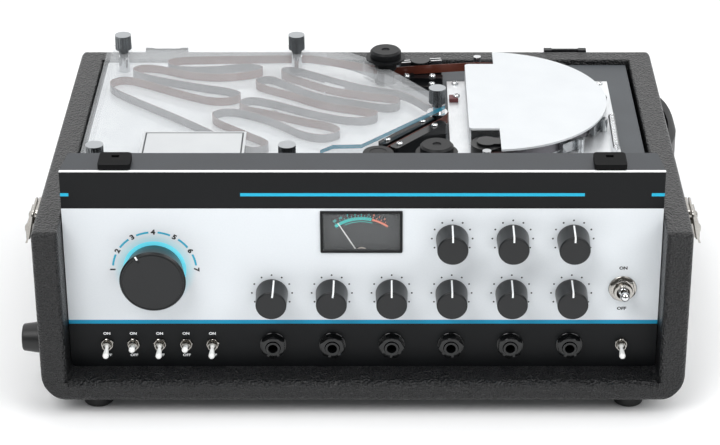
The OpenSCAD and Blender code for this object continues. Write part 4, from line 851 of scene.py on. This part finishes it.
deckScrews = {
    "plate": [(66.0, 86.3, 139.0), (66.3, 57.0, 142.0), (172.0, 86.0, 139.0), (172, -50, 139.0), (66, -56,
        139.0)],
    "bars": [-59.0, -20.0], "barTop": 148.65,
    "erase": [(49.4, 93.2, 142.0), (49.0, 85.9, 139.0), (30.5, 93.2, 142.0)],
    "pads": [(158.0, -38.0, 139.0), (144.5, -38.0, 139.0), (160.0, -46.0, 139.0)],
    "barHalf": 5.35, "barRadius": 2.3,
}
terminalBlock = {"low": (61.0, 53.0, 139.0), "high": (67.5, 60.5, 142.0), "chamfer": 0.4}


# Frame of the guide bars: along the tape from the tank's narrow end to the turning post
def guideFrame():
    (turnX, turnY), (pinX, pinY) = guidePath["turn"], guidePath["pin"]
    run = hypot(pinX - turnX, pinY - turnY)
    angle = atan2(pinY - turnY, pinX - turnX) - asin((guidePath["pinTurn"] + guidePath["turnTurn"]) / run)
    start = (pinX + guidePath["pinTurn"] * sin(angle), pinY - guidePath["pinTurn"] * cos(angle), 0)
    return Matrix.Translation(start) @ Matrix.Rotation(angle, 4, "Z")


# black moulded cap on the turning post, with a ring round a sunk middle
turnCap = {"profile": [(10.4, 151.0), (10.5, 151.6), (10.2, 152.1), (6.2, 152.2), (5.9, 151.9), (4.2, 151.9),
                       (3.9, 152.2),
                       (1.2, 152.2)]}
bracket = {"low": (-30.0, 71.0), "high": (-15.0, 103.0), "z": (138.0, 139.6)}
eyelet = {"profile": [(3.4, 138.0), (3.4, 138.25), (2.9, 138.5), (2.3, 138.5), (2.0, 138.1)],
          "at": [(-66.0, 38.0), (-43.5, 39.5), (-24.5, 87.0)]}


# Bare plate under the tape on the tank's floor
def floorBracket():
    return [block((*bracket["low"], bracket["z"][0]), (*bracket["high"], bracket["z"][1]), 0.3)]


eraseMarks = {"at": (41.7189, 100.359), "turn": 8.90123, "ribs": (4.0, 7.5), "half": 4.08, "middle": 11.5,
              "top": 149.15}


# Bright springs of the erase head's two clips
def eraseClips():
    m = eraseMarks
    spot = Matrix.Translation((*m["at"], 0)) @ Matrix.Rotation(radians(m["turn"]), 4, "Z")
    return [moved(block((side * m["middle"] - m["half"], y - 0.06, m["top"] - 2.95),
                        (side * m["middle"] + m["half"], y + 1.26, m["top"] + 0.06), 0.1), spot)
            for side in (-1, 1) for y in m["ribs"]]


guidePath = {"turn": (10.0, -58.3), "turnTurn": 6.6, "pin": (51.5, 16.0), "pinTurn": 8.0}


def deckParts():
    guide = guideFrame()
    heads = [panScrew(x, y, z, turn=0.5 + 0.7 * i) for i, (x, y, z) in enumerate(deckScrews["plate"])]
    heads += [panScrew(x, y, z, turn=0.3 + 0.9 * i) for i, (x, y, z) in enumerate(deckScrews["erase"])]
    heads += [panScrew(x, y, z, 2.2, 1.1 * i) for i, (x, y, z) in enumerate(deckScrews["pads"])]
    for i, along in enumerate(deckScrews["bars"]):
        for side in (-1, 1):
            spot = guide @ Vector((along, side * deckScrews["barHalf"], deckScrews["barTop"]))
            heads.append(panScrew(*spot, deckScrews["barRadius"], 0.4 + 1.7 * i + side))
    makePiece("deck_screws", meshFrom(heads), materials["chrome"])
    maroon = block(terminalBlock["low"], terminalBlock["high"], terminalBlock["chamfer"])
    makePiece("terminal_block", meshFrom([maroon]), materials["maroon"], smooth=0)
    cap = turned(turnCap["profile"], *guidePath["turn"], segments=64)
    makePiece("turning_post_cap", meshFrom([cap]), materials["blackAbs"])
    makePiece("floor_bracket", meshFrom(floorBracket()), materials["opal"], smooth=0)
    makePiece("floor_eyelets", meshFrom([turned(eyelet["profile"], x, y, segments=40) for x,
                                         y in eyelet["at"]]),
              materials["nickel"])
    makePiece("erase_clips", meshFrom(eraseClips()), materials["chrome"])


deckParts()
print("deck parts made")


label = {"low": (-152.0, -84.0), "high": (-81.0, -27.5), "z": 153.0, "frame": 1.6, "line": 1.1}


# Plain paper label with a printed frame and nothing on it
def tankLabel():
    (x0, y0), (x1, y1) = label["low"], label["high"]
    z, inset, line = label["z"], label["frame"], label["line"]
    paper = block((x0, y0, z), (x1, y1, z + 0.12), 0.02)
    makePiece("tank_label", meshFrom([paper]), materials["paper"], smooth=0)
    a0, b0, a1, b1 = x0 + inset, y0 + inset, x1 - inset, y1 - inset
    bars = [block((a0, b0, z + 0.12), (a1, b0 + line, z + 0.15), 0), block((a0, b1 - line, z + 0.12), (a1, b1,
        z + 0.15), 0),
            block((a0, b0 + line, z + 0.12), (a0 + line, b1 - line, z + 0.15), 0),
            block((a1 - line, b0 + line, z + 0.12), (a1, b1 - line, z + 0.15), 0)]
    makePiece("label_frame", meshFrom(bars), materials["inkGrey"], smooth=0)


tankLabel()
print("label made")


studio = {"floor": "#FAFAFA", "world": "#DADCDE", "worldPower": 0.55, "shade": 0.12, "backdrop": 1.25,
          "key": ((-0.9, -1.5, 2.1), 1.6, 34), "fill": ((1.4, -0.9, 1.5), 1.6, 20), "top": ((0.1, 0.5, 2.2),
              2.0, 26)}


def stageSet():
    mesh = bpy.data.meshes.new("floor")
    mesh.from_pydata([(-8, -8, 0), (8, -8, 0), (8, 8, 0), (-8, 8, 0)], [], [(0, 1, 2, 3)])
    floor = bpy.data.objects.new("floor", mesh)
    material, tree, shader = startMaterial("studio floor", Base_Color=toLinear(studio["floor"]),
                                           Roughness=0.9)
    mesh.materials.append(material)
    bpy.context.scene.collection.objects.link(floor)
    world = bpy.data.worlds.new("studio")
    bpy.context.scene.world = world
    world.use_nodes = True
    tree = world.node_tree
    background = tree.nodes["Background"]
    background.inputs["Color"].default_value = toLinear(studio["world"])
    background.inputs["Strength"].default_value = studio["worldPower"]
    rays = addNode(tree, "ShaderNodeLightPath")
    white = addNode(tree, "ShaderNodeBackground", {"Color": (1, 1, 1, 1), "Strength": 1.0})
    # what polished parts see: a bright backdrop behind and above, a dim room on the camera's side
    way = addNode(tree, "ShaderNodeTexCoord")
    axes = addNode(tree, "ShaderNodeSeparateXYZ", None, {"Vector": way.outputs["Generated"]})
    ramp = addNode(tree, "ShaderNodeMapRange", {"interpolation_type": "SMOOTHSTEP", "From Min": -0.5,
                                                "From Max": 0.6,
                                                "To Min": studio["shade"], "To Max": studio["backdrop"]},
                   {"Value": axes.outputs["Y"]})
    room = addNode(tree, "ShaderNodeBackground", {"Color": (1, 1, 1, 1)},
                   {"Strength": ramp.outputs["Result"]})
    seen = addNode(tree, "ShaderNodeMixShader", None, {0: rays.outputs["Is Glossy Ray"],
                                                       1: background.outputs[0],
                                                       2: room.outputs[0]})
    mix = addNode(tree, "ShaderNodeMixShader", None, {0: rays.outputs["Is Camera Ray"], 1: seen.outputs[0],
                                                      2: white.outputs[0]})
    tree.links.new(mix.outputs[0], tree.nodes["World Output"].inputs["Surface"])
    for name in ("key", "fill", "top"):
        place, size, power = studio[name]
        lamp = bpy.data.lights.new(name, "AREA")
        lamp.shape = "DISK"
        lamp.size = size
        lamp.energy = power
        holder = bpy.data.objects.new(name, lamp)
        holder.location = place
        holder.rotation_euler = (Vector((0, 0, 0.1)) - Vector(place)).to_track_quat("-Z", "Y").to_euler()
        bpy.context.scene.collection.objects.link(holder)
    bpy.context.scene.view_settings.view_transform = "Standard"


stageSet()
print("stage set")
